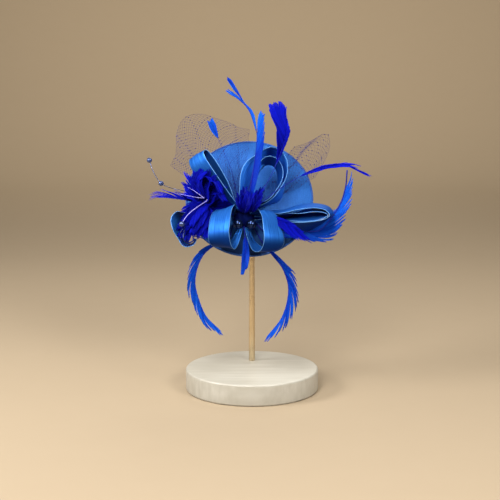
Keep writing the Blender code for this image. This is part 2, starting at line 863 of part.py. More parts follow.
def make_hat(shop):
    """The domed shell, its rim binding, the rest plate under it and the hidden clip."""
    rings = 6
    outer = [(HAT_DIAMETER / 2 * step / rings) for step in range(rings + 1)]
    profile = [(radius * MM, dome_height(radius) * MM) for radius in outer]
    inner_edge = HAT_DIAMETER / 2 - HAT_WALL * 0.4
    inner = [(inner_edge * step / rings) for step in range(rings, -1, -1)]
    profile += [(radius * MM, dome_height(radius, HAT_WALL) * MM) for radius in inner]
    shell = shop.add("hat_base", turned_mesh("hat_base", profile), "blue_cloth", shop.hat)
    turn(shell, 40)

    tube = BINDING_DIAMETER / 2
    middle = HAT_DIAMETER / 2 + GAP + tube
    ring = [math.radians(360 * step / 6) for step in range(7)]
    section = [((middle + tube * math.cos(a)) * MM, (BINDING_DROP - tube * math.sin(a)) * MM) for a in ring]
    binding = shop.add("rim_binding", turned_mesh("rim_binding", section), "cloth_binding", shop.hat)
    turn(binding, 40)
    weld = binding.modifiers.new("Close the roll", "WELD")
    weld.merge_threshold = 0.00001

    plate_rings = 3
    half = REST_DIAMETER / 2
    top = [half * step / plate_rings for step in range(plate_rings + 1)]
    plate = [(r * MM, rest_height(r, 0.0, REST_GAP) * MM) for r in top]
    plate += [(r * MM, rest_height(r, 0.0, REST_GAP + REST_THICKNESS) * MM) for r in reversed(top)]
    rest = shop.add("stand_rest", turned_mesh("stand_rest", plate), "champagne_brass", shop.hat)
    turn(rest, 20)

    def clip_place(along, over):
        x = (along - 0.5) * CLIP_LENGTH
        y = CLIP_UP + (over - 0.5) * CLIP_WIDTH
        return Vector((x, y, rest_height(x, y, REST_GAP + CLIP_THICKNESS / 2)))

    clip = shop.add("hair_clip", grid_mesh("hair_clip", 6, 2, clip_place), "clip_steel", shop.hat)
    thicken(clip, CLIP_THICKNESS)


def make_pearls(shop):
    """The two pearl sprays and the two beads at the centre."""
    for name, spray in SPRAYS.items():
        stem = tube_mesh(shop, name, smooth_path(spray.wire, 9), WIRE_DIAMETER)
        wire = shop.add(name, stem, "navy_pearl", shop.hat)
        for number, place in enumerate(spray.pearls):
            pearl_name = f"{name}_{number}"
            ball = ball_mesh(pearl_name, PEARL_DIAMETER, 10, 7)
            pearl = shop.add(pearl_name, ball, "navy_pearl", shop.hat)
            pearl.location = Vector(place) * MM
            shop.fuse(wire, pearl)
    for name, (azimuth, elevation) in BEADS.items():
        bead = shop.add(name, ball_mesh(name, BEAD_DIAMETER, 12, 8), "navy_pearl", shop.hat)
        off = BEAD_DIAMETER / 2 + GAP
        bead.location = on_mound(KNOT_CENTRE, KNOT_SIZE, azimuth, elevation, off) * MM
    curl = tube_mesh(shop, "quill_curl", smooth_path(CURL, 12), CURL_DIAMETER)
    shop.add("quill_curl", curl, "royal_feather", shop.hat)


def make_cluster(shop):
    """The curled hackles at the left, fused to the pad that they are sewn on."""
    pad = make_mound(shop, "hackle_cluster", PAD_CENTRE, PAD_SIZE, "royal_feather", 6, 10)
    for number, lock in enumerate(HACKLES):
        shop.fuse(pad, make_lock(shop, number, lock))


def main():
    clear_scene()
    shop = Workshop()
    make_stand(shop)
    make_hat(shop)
    make_mound(shop, "centre_knot", KNOT_CENTRE, KNOT_SIZE, "navy_satin", 8, 12)
    for name, ribbon in RIBBONS.items():
        make_ribbon(shop, name, ribbon)
    for name, feather in FEATHERS.items():
        make_feather(shop, name, feather)
    for name, net in NETS.items():
        make_net(shop, name, net)
    make_cluster(shop)
    make_pearls(shop)


main()
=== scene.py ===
"""Feather fascinator on its display stand: the dressed model, its floor, lights and camera.

The hat and its trims are given in millimetres in the hat's own frame: x runs across the hat, y runs
up its face and z points out of its face. The stand, floor, lights and camera are given in metres in
the part's frame, where everything that is built ends up.
"""

import logging
import math
from contextlib import contextmanager
from dataclasses import dataclass, replace
from enum import Enum
from typing import Callable, Iterator

import bpy
import numpy as np
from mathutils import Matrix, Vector


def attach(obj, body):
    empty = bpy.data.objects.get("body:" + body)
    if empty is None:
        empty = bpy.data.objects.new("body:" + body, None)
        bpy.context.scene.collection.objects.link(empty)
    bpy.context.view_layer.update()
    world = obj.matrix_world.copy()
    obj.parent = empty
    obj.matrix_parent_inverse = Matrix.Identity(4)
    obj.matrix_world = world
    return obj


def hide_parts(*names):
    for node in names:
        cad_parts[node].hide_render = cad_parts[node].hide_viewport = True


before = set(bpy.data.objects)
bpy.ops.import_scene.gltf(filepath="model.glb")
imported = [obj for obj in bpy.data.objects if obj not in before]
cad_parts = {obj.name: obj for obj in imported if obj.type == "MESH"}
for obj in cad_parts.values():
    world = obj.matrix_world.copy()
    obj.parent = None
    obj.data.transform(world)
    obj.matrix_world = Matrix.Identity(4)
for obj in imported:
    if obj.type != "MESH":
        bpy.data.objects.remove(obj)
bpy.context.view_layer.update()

LOG = logging.getLogger("fascinator")
MM = 0.001
LINE_POINTS = 241
STEPS_BETWEEN = 24
MERGED = 0.005
TINY = 1e-9
HAT_CENTRE = np.array((-0.003, 0.038, 0.2128))
HAT_LEAN = math.radians(57.5)
HAT_RADIUS = 71.5
HAT_HEIGHT = 17.0
HAT_WALL = 2.0
BALL_RADIUS = (HAT_RADIUS**2 + HAT_HEIGHT**2) / (2 * HAT_HEIGHT)
BALL_SUNK = BALL_RADIUS - HAT_HEIGHT
# The hat's own face, then the part's front and up, all as the hat's frame has them
HAT_FACE = np.array((0.0, 0.0, 1.0))
PART_FRONT = np.array((0.0, -math.cos(HAT_LEAN), math.sin(HAT_LEAN)))
PART_UP = np.array((0.0, math.sin(HAT_LEAN), math.cos(HAT_LEAN)))


class Held(Enum):
    """How a sheet of cloth keeps its form."""

    FOLDED = "folded"


class Hand(Enum):
    """The two sides of a quill, seen with its tip ahead and the hat's face towards the viewer."""

    LEFT = 1
    RIGHT = -1


# Paths and frames


def to_part(points: np.ndarray) -> np.ndarray:
    """Moves points from the hat's frame, in millimetres, to the part's, in metres."""
    cos, sin = math.cos(HAT_LEAN), math.sin(HAT_LEAN)
    turn = np.array(((1, 0, 0), (0, cos, -sin), (0, sin, cos)))
    return points @ turn.T * MM + HAT_CENTRE


def dome_height(x: np.ndarray, y: np.ndarray) -> np.ndarray:
    """How high the hat's outer skin stands above its rim."""
    reach = np.maximum(BALL_RADIUS**2 - np.square(np.hypot(x, y)), 0.0)
    return np.sqrt(reach) - BALL_SUNK


def above_dome(points: np.ndarray, clear: float) -> np.ndarray:
    """Lifts the points that are closer to the hat's outer skin than clear."""
    points[:, 2] = np.maximum(points[:, 2], dome_height(points[:, 0], points[:, 1]) + clear)
    return points


def smooth_path(points: object, count: int = LINE_POINTS) -> np.ndarray:
    """Evenly spaced points on a smooth curve.

    Args:
        points: The points that the curve passes through.
        count: How many points to return.

    Returns:
        An array of count points.
    """
    points = np.array([np.asarray(point, float) for point in points])
    knots = np.vstack((points[0] * 2 - points[1], points, points[-1] * 2 - points[-2]))
    steps = np.linspace(0, 1, STEPS_BETWEEN, endpoint=False)[:, None]
    spans = []
    for a, b, c, d in zip(knots, knots[1:], knots[2:], knots[3:]):
        bend, twist = 2 * a - 5 * b + 4 * c - d, 3 * b - a - 3 * c + d
        spans.append(b + ((c - a) * steps + bend * steps**2 + twist * steps**3) / 2)
    line = np.vstack((*spans, points[-1:]))
    reached = np.concatenate(((0.0,), np.cumsum(np.linalg.norm(np.diff(line, axis=0), axis=1))))
    goals = np.linspace(0, reached[-1], count)
    return np.stack([np.interp(goals, reached, line[:, axis]) for axis in range(3)], axis=1)


def read(line: np.ndarray, shares: np.ndarray) -> np.ndarray:
    """The points of an even line at shares of its length, from 0 to 1."""
    places = np.linspace(0, 1, len(line))
    return np.stack([np.interp(shares, places, line[:, axis]) for axis in range(3)], axis=-1)


def ahead_of(line: np.ndarray, shares: np.ndarray, reach: float) -> np.ndarray:
    """An even line's direction at shares of its length, taken over a short reach both ways."""
    return unit(read(line, np.minimum(shares + reach, 1)) - read(line, np.maximum(shares - reach, 0)))


def line_length(line: np.ndarray) -> float:
    """The length of a line of points."""
    return float(np.linalg.norm(np.diff(line, axis=0), axis=1).sum())


def unit(vectors: np.ndarray) -> np.ndarray:
    """The same directions at length 1."""
    return vectors / np.maximum(np.linalg.norm(vectors, axis=-1, keepdims=True), TINY)


def smooth_step(low: float, high: float, values: np.ndarray) -> np.ndarray:
    """A soft step from 0 at low to 1 at high."""
    share = np.clip((values - low) / (high - low), 0, 1)
    return share * share * (3 - 2 * share)


# Meshes


def select(*objects: bpy.types.Object) -> None:
    """Selects only these objects and makes the first one active."""
    bpy.ops.object.select_all(action="DESELECT")
    for obj in objects:
        obj.select_set(True)
    if objects:
        bpy.context.view_layer.objects.active = objects[0]


@contextmanager
def editing(everything: bool = True) -> Iterator[None]:
    """Holds the active object in edit mode, all selected or with its selection as it was."""
    bpy.ops.object.mode_set(mode="EDIT")
    if everything:
        bpy.ops.mesh.select_all(action="SELECT")
    yield
    bpy.ops.object.mode_set(mode="OBJECT")


def added(name: str, add: Callable, **sizes: object) -> bpy.types.Object:
    """Adds a primitive.

    Args:
        name: The new object's name.
        add: The operator that adds it.
        sizes: What the operator is given.

    Returns:
        The new object, which is active.
    """
    select()
    add(**sizes)
    obj = bpy.context.object
    obj.name = name
    obj.data.name = name
    return obj


def grid(name: str, columns: int, rows: int, size: float = 1) -> bpy.types.Object:
    """Adds a flat grid of cells, centred on the origin."""
    cells = {"x_subdivisions": columns, "y_subdivisions": rows, "size": size}
    return added(name, bpy.ops.mesh.primitive_grid_add, **cells)


def ball(name: str, segments: int, rings: int, radius: float = 1) -> bpy.types.Object:
    """Adds a ball, centred on the origin."""
    sizes = {"segments": segments, "ring_count": rings, "radius": radius}
    return added(name, bpy.ops.mesh.primitive_uv_sphere_add, **sizes)


def listed(elements: object, name: str, width: int, kind: type = float) -> np.ndarray:
    """One property of a mesh's points, edges or faces, a row for each."""
    flat = np.empty(len(elements) * width, kind)
    elements.foreach_get(name, flat)
    return flat.reshape(-1, width)


def get_points(obj: bpy.types.Object) -> np.ndarray:
    """The places of an object's mesh points."""
    return listed(obj.data.vertices, "co", 3)


def set_points(obj: bpy.types.Object, points: np.ndarray) -> None:
    """Moves an object's mesh points."""
    obj.data.vertices.foreach_set("co", np.ascontiguousarray(points, dtype=float).ravel())
    obj.data.update()


def write_values(obj: bpy.types.Object, **layers: object) -> None:
    """Stores named numbers at each mesh point, which a material can read."""
    for name, values in layers.items():
        layer = obj.data.attributes.new(name, "FLOAT", "POINT")
        layer.data.foreach_set("value", np.ones(len(obj.data.vertices)) * values)


def pick(obj: bpy.types.Object, kind: str, chosen: np.ndarray) -> None:
    """Selects the chosen edges or polygons of a mesh and nothing else."""
    for elements in ("vertices", "edges", "polygons"):
        found = getattr(obj.data, elements)
        found.foreach_set("select", chosen if elements == kind else np.zeros(len(found), bool))


def apply_modifier(obj: bpy.types.Object, kind: str, **settings: object) -> None:
    """Adds a modifier and applies it.

    Args:
        obj: The object it works on.
        kind: The modifier's type.
        settings: Its settings.
    """
    modifier = obj.modifiers.new(kind.title(), kind)
    for key, value in settings.items():
        setattr(modifier, key, value)
    select(obj)
    bpy.ops.object.modifier_apply(modifier=modifier.name)


def thicken(obj: bpy.types.Object, wall: float) -> None:
    """Gives a sheet its wall in millimetres, half to each side."""
    apply_modifier(obj, "SOLIDIFY", thickness=wall * MM, offset=0.0, use_even_offset=False)


def joined(name: str, parts: list) -> bpy.types.Object:
    """Joins several pieces of one finish into one object of that name."""
    select(*parts)
    if len(parts) > 1:
        bpy.ops.object.join()
    parts[0].name = name
    parts[0].data.name = name
    return parts[0]


def soften(obj: bpy.types.Object) -> None:
    """Shades a piece smooth all over."""
    obj.data.shade_smooth()


def tube(name: str, line: np.ndarray, radii: np.ndarray | float, rounding: int = 2) -> bpy.types.Object:
    """A round wire or quill along a line in the hat's frame.

    Args:
        name: The object's name.
        line: The points along its middle.
        radii: Its radius at each point, or one radius.
        rounding: How finely its section is rounded.

    Returns:
        The closed tube, at its place in the part's frame.
    """
    radii = np.broadcast_to(np.asarray(radii, float) * MM, len(line))
    obj = added(name, bpy.ops.curve.primitive_nurbs_path_add)
    curve = obj.data
    curve.splines.clear()
    spline = curve.splines.new("POLY")
    spline.points.add(len(line) - 1)
    for point, place, radius in zip(spline.points, to_part(line), radii):
        point.co = (*place, 1.0)
        point.radius = radius / radii.max()
    curve.bevel_depth = radii.max()
    curve.bevel_resolution = rounding
    curve.use_fill_caps = True
    select(obj)
    bpy.ops.object.convert(target="MESH")
    obj = bpy.context.object
    with editing():
        bpy.ops.mesh.remove_doubles(threshold=MERGED * MM)
    soften(obj)
    return obj


# Shaders


class Signal:
    """A shader socket that takes part in Python expressions."""

    def __init__(self, shop: "Shader", socket: object):
        """Wraps one output socket of a shader."""
        self.shop = shop
        self.socket = socket

    def _math(self, operation: str, *others: object) -> "Signal":
        """Adds one Math node."""
        return self.shop.add("ShaderNodeMath", dict(enumerate((self, *others))), operation=operation)

    def __add__(self, other: object) -> "Signal":
        """The sum."""
        return self._math("ADD", other)

    def __sub__(self, other: object) -> "Signal":
        """The difference."""
        return self._math("SUBTRACT", other)

    def __mul__(self, other: object) -> "Signal":
        """The product."""
        return self._math("MULTIPLY", other)

    def wave(self) -> "Signal":
        """A value in radians as a wave from 0 to 1."""
        return self._math("SINE") * 0.5 + 0.5

    def between(self, low: float, high: float) -> "Signal":
        """A soft step from 0 at low to 1 at high."""
        ends = {"Value": self, "From Min": low, "From Max": high}
        return self.shop.add("ShaderNodeMapRange", ends, interpolation_type="SMOOTHSTEP")


class Shader:
    """One material and the nodes that feed its Principled shader."""

    def __init__(self, name: str, **constants: object):
        """Makes the material and sets the sockets that are the same all over."""
        self.material = bpy.data.materials.new(name)
        self.material.use_nodes = True
        self.tree = self.material.node_tree
        for key, value in constants.items():
            self.feed(key.replace("_", " "), value)

    def link(self, socket: object, value: object) -> None:
        """Links a signal to a socket, or sets the socket's value."""
        if isinstance(value, Signal):
            self.tree.links.new(value.socket, socket)
        elif socket.type == "RGBA":
            socket.default_value = (*value, 1.0)
        else:
            socket.default_value = value

    def feed(self, name: str, value: object) -> None:
        """Feeds one socket of the Principled shader."""
        self.link(self.tree.nodes["Principled BSDF"].inputs[name], value)

    def add(self, kind: str, values: dict, out: object = 0, **settings: object) -> Signal:
        """Adds a node.

        Args:
            kind: The node's type.
            values: The value or signal of each input socket.
            out: The output that is wanted.
            settings: The node's own settings.

        Returns:
            That output.
        """
        node = self.tree.nodes.new(kind)
        for key, value in settings.items():
            setattr(node, key, value)
        for key, value in values.items():
            self.link(node.inputs[key], value)
        return Signal(self, node.outputs[out])

    def place(self) -> Signal:
        """The point on the surface, in metres."""
        return self.add("ShaderNodeTexCoord", {}, "Object")

    def value(self, name: str) -> Signal:
        """A number that the mesh carries at each point."""
        return self.add("ShaderNodeAttribute", {}, "Fac", attribute_name=name)

    def noise(self, scale: float, detail: float = 3.0, at: Signal | None = None) -> Signal:
        """Cloudy variation with cells of about 1 / scale metres."""
        values = {"Vector": at or self.place(), "Scale": scale, "Detail": detail}
        return self.add("ShaderNodeTexNoise", values, "Fac")

    def stretched(self, scale: tuple, turn: tuple = (0.0, 0.0, 0.0)) -> Signal:
        """The point on the surface, turned and then stretched along each axis."""
        return self.add("ShaderNodeMapping", {"Vector": self.place(), "Scale": scale, "Rotation": turn})

    def fibres(self, scale: tuple, detail: float) -> Signal:
        """Variation in long cells, of about 1 / scale metres along each axis."""
        return self.noise(1.0, detail, self.stretched(scale))

    def mix(self, share: object, first: object, second: object, held: bool = True) -> Signal:
        """Blends two colours. If not held, a share above 1 goes on past the second."""
        values = {"Factor": share, 6: first, 7: second}
        return self.add("ShaderNodeMix", values, 2, data_type="RGBA", clamp_factor=held)

    def finish(
        self, colour: Signal, roughness: Signal, relief: Signal, depth: float, strength: float
    ) -> bpy.types.Material:
        """Feeds everything that varies over the surface.

        Args:
            colour: The base colour.
            roughness: The roughness.
            relief: The surface's height, from 0 to 1.
            depth: The relief's depth in metres.
            strength: How much of the relief is used.

        Returns:
            The material.
        """
        bump = {"Height": relief, "Distance": depth, "Strength": strength}
        self.feed("Base Color", colour)
        self.feed("Roughness", roughness)
        self.feed("Normal", self.add("ShaderNodeBump", bump, "Normal"))
        return self.material


@dataclass(frozen=True)
class Satin:
    """Satin ribbon with a lighter selvedge, and painted shade where its faces turn from the light."""

    deep: tuple = (0.004, 0.06, 0.33)
    bright: tuple = (0.030, 0.195, 0.69)
    selvedge: tuple = (0.12, 0.30, 0.62)
    # The painted shade's colour, towards which faces turned down from the light are blended.
    turned: tuple = (0.002, 0.026, 0.17)
    roughness: float = 0.47
    metallic: float = 0.5
    tint: tuple = (0.25, 0.5, 1.0)
    gloss: float = 0.15
    streaks_over: float = 16.0
    streaks_along: float = 30.0
    selvedge_at: tuple = (0.955, 0.985)
    warp: float = 9000.0
    weft: float = 180.0

    def material(self, name: str) -> bpy.types.Material:
        """The satin's material."""
        shader = Shader(name, Metallic=self.metallic, Specular_IOR_Level=self.gloss, Specular_Tint=self.tint)
        edge = shader.value("edge")
        along = shader.value("along")
        lengthwise = {"X": edge * self.streaks_over, "Y": along * self.streaks_along}
        streaks = shader.noise(1.0, at=shader.add("ShaderNodeCombineXYZ", lengthwise))
        body = shader.mix(streaks.between(0.2, 0.75), self.deep, self.bright)
        # Painted light and shade: the tone value blends the satin towards the painted shade's colour, and
        # past its own colour as painted light where it is above 1.
        painted_light_and_shade = shader.mix(shader.value("tone"), self.turned, body, held=False)
        colour = shader.mix(edge.between(*self.selvedge_at), painted_light_and_shade, self.selvedge)
        soft = shader.noise(220.0)
        relief = (along * self.warp).wave() * 0.3 + (edge * self.weft).wave() * 0.3 + soft * 0.3
        roughness = soft * 0.12 + (self.roughness - 0.05)
        return shader.finish(colour, roughness, relief, depth=0.00006, strength=0.5)


@dataclass(frozen=True)
class StrawCloth:
    """Woven straw cloth: fine crossed fibres with slubs, and painted shadow darkening it towards its low
    edge.
    """

    deep: tuple = (0.008, 0.075, 0.32)
    bright: tuple = (0.045, 0.21, 0.68)
    # The painted shadow's colour, and where up the disc it fades out, in metres.
    low: tuple = (0.003, 0.022, 0.10)
    painted_shadow_ends: tuple = (0.132, 0.170)
    pitch: float = 0.0011
    fine: float = 1500.0
    long: float = 90.0

    def material(self, name: str) -> bpy.types.Material:
        """The cloth's material."""
        shader = Shader(name, Specular_IOR_Level=0.12)
        turned = shader.stretched((1.0, 1.0, 1.0), (-HAT_LEAN, 0.0, 0.0))
        across, up = (shader.add("ShaderNodeSeparateXYZ", {0: turned}, axis) for axis in (0, 1))
        wave = 2 * math.pi / self.pitch
        fibres_across = shader.fibres((self.long, self.fine, self.fine), 2.0)
        fibres_up = shader.fibres((self.fine, self.long, self.long), 2.0)
        weave = (across * wave + fibres_up * 2.0).wave() * (up * wave + fibres_across * 2.0).wave()
        slubs = fibres_across * 0.5 + fibres_up * 0.5
        shade = weave * 0.35 + slubs * 0.55 + shader.noise(28.0) * 0.25
        cloth = shader.mix(shade.between(0.3, 0.85), self.deep, self.bright)
        # Painted shadow: the cloth falls to the shadow colour towards the disc's low edge, where the bow
        # shades it.
        colour = shader.mix(up.between(*self.painted_shadow_ends), self.low, cloth)
        relief = weave * 0.6 + slubs * 0.4
        return shader.finish(colour, slubs * 0.25 + 0.42, relief, depth=0.00022, strength=0.7)


@dataclass(frozen=True)
class Plumage:
    """Dyed feather barbs, streaked from barb to barb and darker at their roots."""

    deep: tuple
    bright: tuple
    roughness: float = 0.42

    def material(self, name: str) -> bpy.types.Material:
        """The feather's material."""
        shader = Shader(name, Specular_IOR_Level=0.04, Specular_Tint=(0.15, 0.3, 0.9))
        strand = shader.value("strand")
        grain = shader.noise(900.0, 2.0)
        tone = strand * 0.8 + shader.value("reach") * 0.15 + grain * 0.2 - 0.1
        colour = shader.mix(tone, self.deep, self.bright)
        return shader.finish(colour, strand * 0.2 + (self.roughness - 0.1), grain, depth=0.0001, strength=0.5)


@dataclass(frozen=True)
class Pearl:
    """A glossy pearl or wire with a faint cloudy lustre."""

    deep: tuple
    bright: tuple
    roughness: float = 0.14
    metallic: float = 0.45
    coat: float = 0.4
    gloss: float = 0.5
    tint: tuple = (1.0, 1.0, 1.0)

    def material(self, name: str) -> bpy.types.Material:
        """The pearl's material."""
        lustre = {"Metallic": self.metallic, "Coat_Weight": self.coat, "Coat_Roughness": 0.03}
        shader = Shader(name, **lustre, Specular_IOR_Level=self.gloss, Specular_Tint=self.tint)
        cloud = shader.noise(400.0)
        colour = shader.mix(cloud.between(0.3, 0.75), self.deep, self.bright)
        roughness = cloud * 0.12 + self.roughness
        return shader.finish(colour, roughness, shader.noise(3500.0, 2.0), depth=0.00002, strength=0.3)


@dataclass(frozen=True)
class Thread:
    """Spun thread of a net or a bound edge, or the dull skin of a quill."""

    deep: tuple
    bright: tuple
    roughness: float = 0.6
    gloss: float = 0.3

    def material(self, name: str) -> bpy.types.Material:
        """The thread's material."""
        shader = Shader(name, Specular_IOR_Level=self.gloss)
        grain = shader.noise(1400.0, 2.0)
        colour = shader.mix(grain.between(0.3, 0.7), self.deep, self.bright)
        return shader.finish(colour, grain * 0.2 + (self.roughness - 0.1), grain, depth=0.00015, strength=0.6)


@dataclass(frozen=True)
class Paint:
    """Brushed satin paint on turned wood."""

    deep: tuple = (0.36, 0.34, 0.285)
    bright: tuple = (0.475, 0.46, 0.405)
    brushed: tuple = (14.0, 320.0, 60.0)

    def material(self, name: str) -> bpy.types.Material:
        """The paint's material."""
        shader = Shader(name, Coat_Weight=0.25, Coat_Roughness=0.25)
        grain = shader.fibres(self.brushed, 4.0)
        tone = grain * 0.5 + shader.noise(12.0) * 0.5
        colour = shader.mix(tone.between(0.3, 0.7), self.deep, self.bright)
        return shader.finish(colour, grain * 0.2 + 0.3, grain, depth=0.0001, strength=0.5)


@dataclass(frozen=True)
class Metal:
    """Drawn metal with fine lengthwise lines."""

    deep: tuple
    bright: tuple
    roughness: float
    drawn: tuple = (2600.0, 2600.0, 40.0)

    def material(self, name: str) -> bpy.types.Material:
        """The metal's material."""
        shader = Shader(name, Metallic=1.0)
        lines = shader.fibres(self.drawn, 3.0)
        cloud = shader.noise(60.0)
        colour = shader.mix(cloud * 0.6 + lines * 0.4, self.deep, self.bright)
        roughness = lines * 0.12 + cloud * 0.1 + (self.roughness - 0.08)
        return shader.finish(colour, roughness, lines, depth=0.00002, strength=0.4)


# Navy satin darkened to near black: painted shade for the knot that sits deep among the loops.
NAVY_SATIN_PAINTED_SHADE = Satin(
    (0.001, 0.002, 0.03), (0.001, 0.003, 0.05), (0.01, 0.03, 0.16), roughness=0.6, metallic=0.0, gloss=0.05
)
GLOSSY_CURL = Pearl((0.001, 0.002, 0.05), (0.003, 0.008, 0.16), 0.2, 0.0, 0.1, 0.2, (0.3, 0.5, 1.0))
LOOKS = {
    "blue_satin": Satin(),
    "blue_cloth": StrawCloth(),
    "cloth_binding": Thread((0.008, 0.045, 0.22), (0.02, 0.11, 0.42)),
    "navy_satin": NAVY_SATIN_PAINTED_SHADE,
    "blue_feather": Plumage((0.0015, 0.012, 0.25), (0.008, 0.12, 0.66)),
    "royal_feather": Plumage((0.0008, 0.0008, 0.08), (0.005, 0.010, 0.60)),
    "dark_quill": Thread((0.003, 0.005, 0.12), (0.010, 0.020, 0.34), 0.5, 0.1),
    "pale_quill": Thread((0.20, 0.18, 0.66), (0.42, 0.40, 0.86), 0.35),
    "blue_net": Thread((0.006, 0.008, 0.09), (0.025, 0.030, 0.22)),
    "navy_pearl": Pearl((0.008, 0.022, 0.08), (0.016, 0.04, 0.13), 0.04, 0.85, 0.15),
    "glossy_curl": GLOSSY_CURL,
    "slate_pearl": Pearl((0.02, 0.035, 0.12), (0.06, 0.10, 0.26), 0.16, 0.5),
    "champagne_brass": Metal((0.60, 0.46, 0.28), (0.88, 0.74, 0.50), 0.26),
    "clip_steel": Metal((0.42, 0.42, 0.44), (0.66, 0.66, 0.68), 0.3),
    "ivory_paint": Paint(),
}


class Workroom:
    """The finishes, made once, and the way a piece joins the part."""

    def __init__(self) -> None:
        """Makes every finish."""
        self.looks = {name: look.material(f"{name}_look") for name, look in LOOKS.items()}

    def dress(self, obj: bpy.types.Object, look: str, *nodes: str, slot: str = "") -> None:
        """Finishes a piece and makes it part of the model.

        Args:
            obj: The piece.
            look: The finish that it gets.
            nodes: The solids that it stands for.
            slot: The record's material slot, where it isn't named as the finish is. Not used.
        """
        obj.data.materials.clear()
        obj.data.materials.append(self.looks[look])
        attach(obj, "root")
        if nodes:
            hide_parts(*nodes)
        LOG.info("%s: %d faces", obj.name, len(obj.data.polygons))

    def repaint(self, node: str, look: str) -> None:
        """Gives a carried-over solid its finish."""
        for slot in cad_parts[node].material_slots:
            slot.material = self.looks[look]


# The two sewn mounds that everything grows from


@dataclass(frozen=True)
class Mound:
    """A sewn mound on the hat: its centre, its three half sizes and where pieces grow out of it."""

    centre: np.ndarray
    size: np.ndarray
    root_clears: tuple = (0.6, 3.6)
    hat_clear: float = 0.3
    fill: float = 0.8

    def near(self, azimuth: float, elevation: float, clear: float) -> np.ndarray:
        """A point just off its skin.

        Args:
            azimuth: The way round it, in degrees.
            elevation: The way up it, in degrees.
            clear: How far off its skin the point is.

        Returns:
            The point.
        """
        turn, rise = math.radians(azimuth), math.radians(elevation)
        way = np.array((math.cos(rise) * math.cos(turn), math.cos(rise) * math.sin(turn), math.sin(rise)))
        normal = way / self.size
        return self.centre + way * self.size + normal / np.linalg.norm(normal) * clear

    def root(self, azimuth: float, elevation: float) -> tuple:
        """The two points by which a piece grows out of it."""
        return tuple(self.near(azimuth, elevation, clear) for clear in self.root_clears)

    def cover(self, obj: bpy.types.Object, share: np.ndarray | float) -> None:
        """Shapes a unit ball into its padded skin, which is share of its size."""
        points = self.centre + get_points(obj) * self.size * share
        set_points(obj, to_part(above_dome(points, self.hat_clear)))
        soften(obj)


KNOT = Mound(np.array((-5.0, -31.0, 13.5)), np.array((13.0, 14.0, 9.5)))
PAD = Mound(np.array((-52.0, -11.0, 8.4)), np.array((9.0, 8.0, 6.0)))


# Ribbons


@dataclass(frozen=True)
class Fold:
    """One section of a ribbon: its near edge, how its far edge is shifted, and its width."""

    across: float
    up: float
    out: float
    spread_across: float
    spread_up: float
    width: float = 25.0

    def edges(self) -> tuple:
        """The section's near and far edge points."""
        near = np.array((self.across, self.up, self.out), float)
        back = math.sqrt(max(self.width**2 - self.spread_across**2 - self.spread_up**2, 0.0))
        return near, near + np.array((self.spread_across, self.spread_up, -back))


